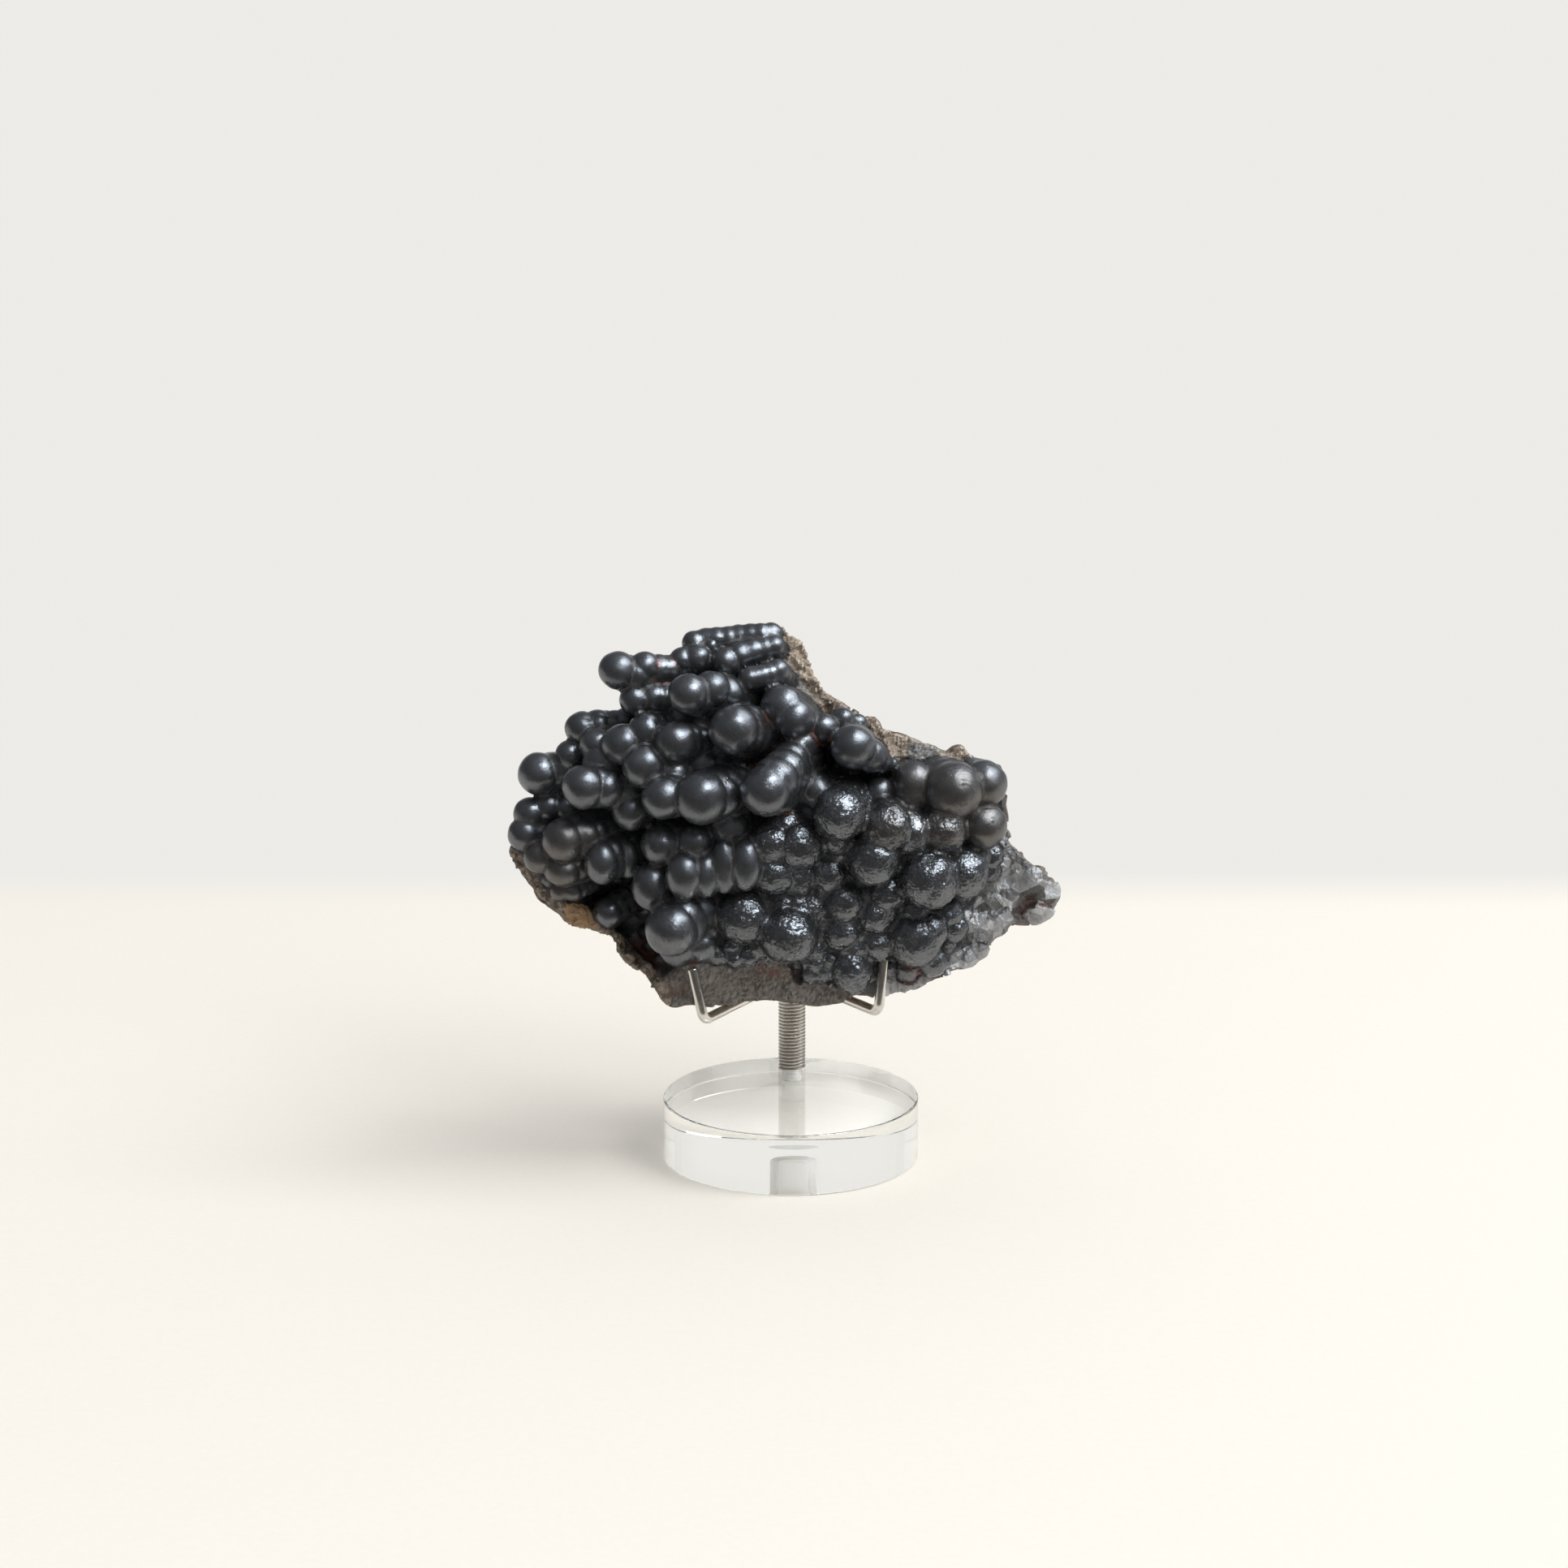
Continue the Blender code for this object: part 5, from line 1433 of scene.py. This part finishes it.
# Painted shade mixed with dust: the creases are darkened toward near black, less on the rough bubbles.
crease_shade_and_dirt = remapped(tree, added(fine, 0.5, crease_mask), 0.55, 1.15, 0.0, CREASE_SHADE_SHARE)
crease_shade_and_dirt = maths(tree, "MULTIPLY", crease_shade_and_dirt,
             remapped(tree, rough_mask, 0.0, 1.0, 1.0, ROUGH_CREASE_SHADE_SHARE))
skin_tone = mixed(tree, crease_shade_and_dirt, skin_tone, CREASE_SHADE_TONE)
# Painted shade: the deep hollows are darkened toward near black.
deep = remapped(tree, hollow_mask, 0.35, 0.95, 0.0, HOLLOW_SHADE_SHARE)
skin_tone = mixed(tree, deep, skin_tone, HOLLOW_SHADE_TONE)
rust = maths(tree, "MULTIPLY", red_mask,
             remapped(tree, maths(tree, "ADD", crease_mask, fine), 0.5, 0.9, 0.0, RUST_SHARE))
print("skin tones:", SKIN_TONES)

# %% Tones of the broken faces
SECTION_TONES = (0.030, 0.026, 0.023), (0.19, 0.168, 0.146)
SECTION_BAND = (0.12, 0.10, 0.085)
CRYSTAL_TONES = (0.10, 0.098, 0.096), (0.52, 0.525, 0.54)
CRYSTAL_FACE = 4.5 * MM
MATRIX_TONES = (0.25, 0.195, 0.15), (0.54, 0.46, 0.375)
MATRIX_BAND = (0.15, 0.105, 0.075)
GREY_BAND_TONES = (0.16, 0.155, 0.15), (0.38, 0.38, 0.385)
SHALE_TONES = (0.09, 0.07, 0.055), (0.27, 0.22, 0.175)
BACK_TONES = (0.10, 0.075, 0.058), (0.26, 0.20, 0.15)
BACK_GREY = (0.12, 0.12, 0.12)
OCHRE_TONE, OCHRE_SHARE = (0.27, 0.16, 0.075), 0.8

section_tone = speckled(streaks, 0.35, 0.65, *SECTION_TONES)
section_tone = speckled(bands, 0.4, 0.7, section_tone, SECTION_BAND, 0.5)
faces = add_node(tree, "ShaderNodeTexVoronoi", {"Vector": place, "Scale": 1.0 / CRYSTAL_FACE})
face_chance = add_node(tree, "ShaderNodeSeparateXYZ", {"Vector": faces.outputs["Color"]})
crystal_tone = mixed(tree, face_chance.outputs["X"], *CRYSTAL_TONES)
matrix_tone = speckled(streaks, 0.35, 0.65, *MATRIX_TONES)
matrix_tone = speckled(bands, 0.52, 0.7, matrix_tone, MATRIX_BAND, 0.7)
grey_band = speckled(streaks, 0.38, 0.62, *GREY_BAND_TONES)
matrix_tone = mixed(tree, mask_of("banded"), matrix_tone, grey_band)
shale_tone = speckled(noise_at(place, 1.4, 4.0), 0.38, 0.62, *SHALE_TONES)
back_tone = speckled(noise_at(place, 5.0, 5.0), 0.38, 0.62, *BACK_TONES)
back_tone = speckled(noise_at(place, 1.3, 4.0), 0.5, 0.7, back_tone, BACK_GREY, 0.5)
print("broken tones from", SECTION_TONES[0], "to", MATRIX_TONES[1])

# %% All tones by their masks
tone = skin_tone
for name, colour in (("section", section_tone), ("crystal", crystal_tone), ("matrix", matrix_tone),
                     ("shale", shale_tone), ("back", back_tone)):
    tone = mixed(tree, mask_of(name), tone, colour)
tone = mixed(tree, maths(tree, "MULTIPLY", mask_of("ochre"), OCHRE_SHARE), tone, OCHRE_TONE)
tone = mixed(tree, rust, tone, RUST_TONE)
tree.links.new(tone, shader.inputs["Base Color"])
print("tones joined to", shader.inputs["Base Color"].name)

# %% [markdown]
# Only sound skin away from the painted shade of the creases and hollows looks like metal, and the
# grey crystals do in part. A film of clay dulls some bubbles, and the shaded, dusty creases and the
# breaks are rough. The smallest swellings and the grit are a bump, a fifth of a millimetre high,
# which comes and goes in patches on the rough bubbles.

# %% Metal, gloss and fine relief
SKIN_METAL = 0.88
CRYSTAL_METAL = 0.45
GLOSS = (0.26, 0.37)
FILM_DULLS, ROUGH_SHINES, BREAK_DULLS = 0.08, -0.05, 0.28
DOME_SIZE = 0.95 * MM
PEEL_HEIGHT = 0.30
BUMP_HEIGHT = 0.22 * MM

broken = mask_of("section")
for name in CHIPPED:
    broken = maths(tree, "MAXIMUM", broken, mask_of(name))
sound = maths(tree, "SUBTRACT", 1.0, broken)
# The metal fades where the painted shade of the creases and hollows lies.
clear_of_shade_and_dust = maths(tree, "SUBTRACT", 1.0, maths(tree, "MAXIMUM", crease_shade_and_dirt, deep))
metal = maths(tree, "MULTIPLY", maths(tree, "MULTIPLY", sound, clear_of_shade_and_dust), SKIN_METAL)
tree.links.new(added(crystal_mask, CRYSTAL_METAL, metal), shader.inputs["Metallic"])

gloss = remapped(tree, noise_at(place, 3.5, 3.0), 0.35, 0.65, *GLOSS)
gloss = added(film_mask, FILM_DULLS, gloss)
gloss = added(rough_mask, ROUGH_SHINES, gloss)
gloss = added(maths(tree, "MAXIMUM", crease_shade_and_dirt, broken), BREAK_DULLS, gloss)
tree.links.new(gloss, shader.inputs["Roughness"])

cells = add_node(tree, "ShaderNodeTexVoronoi", {"Vector": place, "Scale": 1.0 / DOME_SIZE,
                 "Randomness": 0.9}).outputs["Distance"]
domes = maths(tree, "SUBTRACT", 1.0, maths(tree, "MULTIPLY", cells, cells))
patchy = remapped(tree, noise_at(place, 3.5, 3.0), 0.40, 0.62, 0.2, 1.0)
domes = maths(tree, "MULTIPLY", domes, maths(tree, "MULTIPLY", rough_mask, patchy))
peel = maths(tree, "MULTIPLY", noise_at(place, 0.6, 3.0, 0.6), PEEL_HEIGHT)
grit = maths(tree, "MULTIPLY", noise_at(fibre, 0.5, 4.0, 0.6), broken)
relief = maths(tree, "ADD", maths(tree, "ADD", domes, peel), grit)
bump = add_node(tree, "ShaderNodeBump", {"Height": relief, "Strength": 1.0,
                "Distance": BUMP_HEIGHT})
tree.links.new(bump.outputs["Normal"], shader.inputs["Normal"])
add_piece("hematite_plate", stone_mesh, "hematite", hematite)

# %% [markdown]
# ## Floor and light
# The stage is a plain pale floor. Its far part glows in the wall's colour, which makes the soft
# horizon of the picture. A glossy dark stone is a mirror for its room, so the light is built from
# what the stone reflects in the picture: a window high on the right, a pale wall behind, a dim
# room above, and a dark room in front, where the camera stood. The window and the sky beside it
# are seen only in gloss. Two more lamps at those sides only light the matt surfaces, so that the
# stone's highlights and the floor's brightness can be set apart.

# %% Floor
FLOOR_HALF = 30.0
FLOOR_LEVEL = -0.2 * MM
TABLE_FRONT = -0.105
TABLE_BACK = 0.33
TABLE_REACH = 1.3
TABLE_FADE = 0.03
FRONT_FADE = 0.02
TABLE_EDGE = 0.4
BACKDROP = (0.845, 0.833, 0.800)
PAPER_TONES = (0.825, 0.79, 0.725), (0.875, 0.845, 0.785)
PAPER_CLOUDS, CLOUD_SHARE = (0.825, 0.795, 0.745), 0.3
PAPER_ROUGHNESS = 0.9
UNLIT_PAPER = (0.07, 0.065, 0.06)
BLACK = (0.0, 0.0, 0.0)

floor_bm = bmesh.new()
bmesh.ops.create_grid(floor_bm, x_segments=8, y_segments=8, size=FLOOR_HALF)
bmesh.ops.translate(floor_bm, verts=floor_bm.verts, vec=(0.0, 0.0, FLOOR_LEVEL))
floor_mesh = bpy.data.meshes.new("floor")
floor_bm.to_mesh(floor_mesh)
floor_bm.free()
floor = bpy.data.objects.new("floor", floor_mesh)
bpy.context.scene.collection.objects.link(floor)


def through_clear(path):
    """1 for a ray that has passed through the clear disc, and 0 for the rest."""
    return maths(tree, "GREATER_THAN", path["Transmission Depth"], 0.5)


paper, tree, shader, place = new_material("pale paper")
grain = noise_at(place, 2.0, 5.0, 0.65)
mottle = noise_at(place, 40.0, 3.0)
sheet = mixed(tree, grain, *PAPER_TONES)
sheet = mixed(tree, maths(tree, "MULTIPLY", mottle, CLOUD_SHARE), sheet, PAPER_CLOUDS)
ahead = add_node(tree, "ShaderNodeSeparateXYZ", {"Vector": place}).outputs["Y"]
away = add_node(tree, "ShaderNodeVectorMath", {0: place}, operation="LENGTH").outputs["Value"]
far_off = maths(tree, "MAXIMUM",
                remapped(tree, ahead, TABLE_BACK - TABLE_FADE, TABLE_BACK + TABLE_FADE, 0.0, 1.0),
                remapped(tree, away, TABLE_REACH - TABLE_EDGE, TABLE_REACH, 0.0, 1.0))
path = add_node(tree, "ShaderNodeLightPath").outputs
mirrored = maths(tree, "MULTIPLY", path["Is Glossy Ray"],
                 maths(tree, "SUBTRACT", 1.0, through_clear(path)))
beyond = remapped(tree, ahead, TABLE_FRONT - FRONT_FADE, TABLE_FRONT, 1.0, 0.0)
dark = maths(tree, "MULTIPLY", mirrored, beyond)
sheet = mixed(tree, far_off, sheet, BLACK)
sheet = mixed(tree, dark, sheet, UNLIT_PAPER)
tree.links.new(sheet, shader.inputs["Base Color"])
glowing = maths(tree, "MULTIPLY", far_off, maths(tree, "SUBTRACT", 1.0, dark))
glow = mixed(tree, glowing, BLACK, BACKDROP)
tree.links.new(glow, shader.inputs["Emission Color"])
shader.inputs["Emission Strength"].default_value = 1.0
shader.inputs["Roughness"].default_value = PAPER_ROUGHNESS
shader.inputs["Specular IOR Level"].default_value = 0.0
floor_mesh.materials.append(paper)
print("the table reaches from", TABLE_FRONT, "to", TABLE_BACK, "m")

# %% Room
ROOM_LIGHT = (0.42, 0.425, 0.43), (0.86, 0.865, 0.87)
ROOM_SHEEN = (0.105, 0.11, 0.12), (0.30, 0.31, 0.328)
DARK_FRONT = (0.03, 0.029, 0.028)
BEHIND_FROM, BEHIND_TO = -0.75, 0.2
ABOVE_FROM, ABOVE_TO = -0.1, 0.55
WALL_FROM, WALL_TO = 0.80, 0.92
WALL_TOP, WALL_END = 0.36, 0.50

room = bpy.data.worlds.new("room")
bpy.context.scene.world = room
room.use_nodes = True
tree = room.node_tree
tree.nodes.clear()
heading = add_node(tree, "ShaderNodeTexCoord").outputs["Generated"]
split = add_node(tree, "ShaderNodeSeparateXYZ", {"Vector": heading}).outputs
behind = remapped(tree, split["Y"], BEHIND_FROM, BEHIND_TO, 0.0, 1.0)
above = remapped(tree, split["Z"], ABOVE_FROM, ABOVE_TO, 0.0, 1.0)
right = remapped(tree, split["X"], -1.0, 1.0, 0.0, 1.0)
wall = maths(tree, "MULTIPLY", remapped(tree, split["Y"], WALL_FROM, WALL_TO, 0.0, 1.0),
             remapped(tree, split["Z"], WALL_TOP, WALL_END, 1.0, 0.0))
path = add_node(tree, "ShaderNodeLightPath").outputs
lighting = mixed(tree, right, *ROOM_LIGHT)
mirror = mixed(tree, wall, mixed(tree, right, *ROOM_SHEEN), BACKDROP)
glow = mixed(tree, path["Is Glossy Ray"], lighting, mirror)
glow = mixed(tree, maths(tree, "MAXIMUM", behind, above), DARK_FRONT, glow)
plain = maths(tree, "MAXIMUM", path["Is Camera Ray"], through_clear(path))
seen = mixed(tree, plain, glow, BACKDROP)
backing = add_node(tree, "ShaderNodeBackground", {"Color": seen, "Strength": 1.0})
add_node(tree, "ShaderNodeOutputWorld", {"Surface": backing.outputs[0]})
print("the room is", room.name)

# %% Lights
LIGHT_DISTANCE = 4.0
LIGHT_AIM = Vector((0.0, 0.0, 0.1))
Lamp = namedtuple("Lamp", "name heading size power colour only_gloss")
LAMPS = (
    Lamp("window", (0.60, 0.04, 0.80), 3.0, 112.0, (0.90, 0.955, 1.0), True),
    Lamp("daylight", (0.60, -0.15, 0.80), 2.4, 97.0, (1.0, 0.995, 0.98), False),
    Lamp("fill", (0.50, -0.62, 0.60), 1.6, 36.0, (1.0, 0.98, 0.95), False),
    Lamp("skylight", (0.46, -0.42, 0.78), 2.2, 132.0, (0.88, 0.95, 1.0), True),
)


def hang(lamp):
    """Put a square soft light in the room that looks at the stone."""
    light = bpy.data.lights.new(lamp.name, "AREA")
    light.shape = "SQUARE"
    light.size = lamp.size
    light.energy = lamp.power
    light.color = lamp.colour
    heading = Vector(lamp.heading)
    holder = bpy.data.objects.new(lamp.name, light)
    holder.location = LIGHT_AIM + heading.normalized() * LIGHT_DISTANCE
    holder.rotation_euler = (-heading).to_track_quat("-Z", "Y").to_euler()
    holder.visible_diffuse = not lamp.only_gloss
    holder.visible_glossy = lamp.only_gloss
    bpy.context.scene.collection.objects.link(holder)


for lamp in LAMPS:
    hang(lamp)
bpy.context.scene.view_settings.view_transform = "Standard"
print("lights:", ", ".join(lamp.name for lamp in LAMPS))
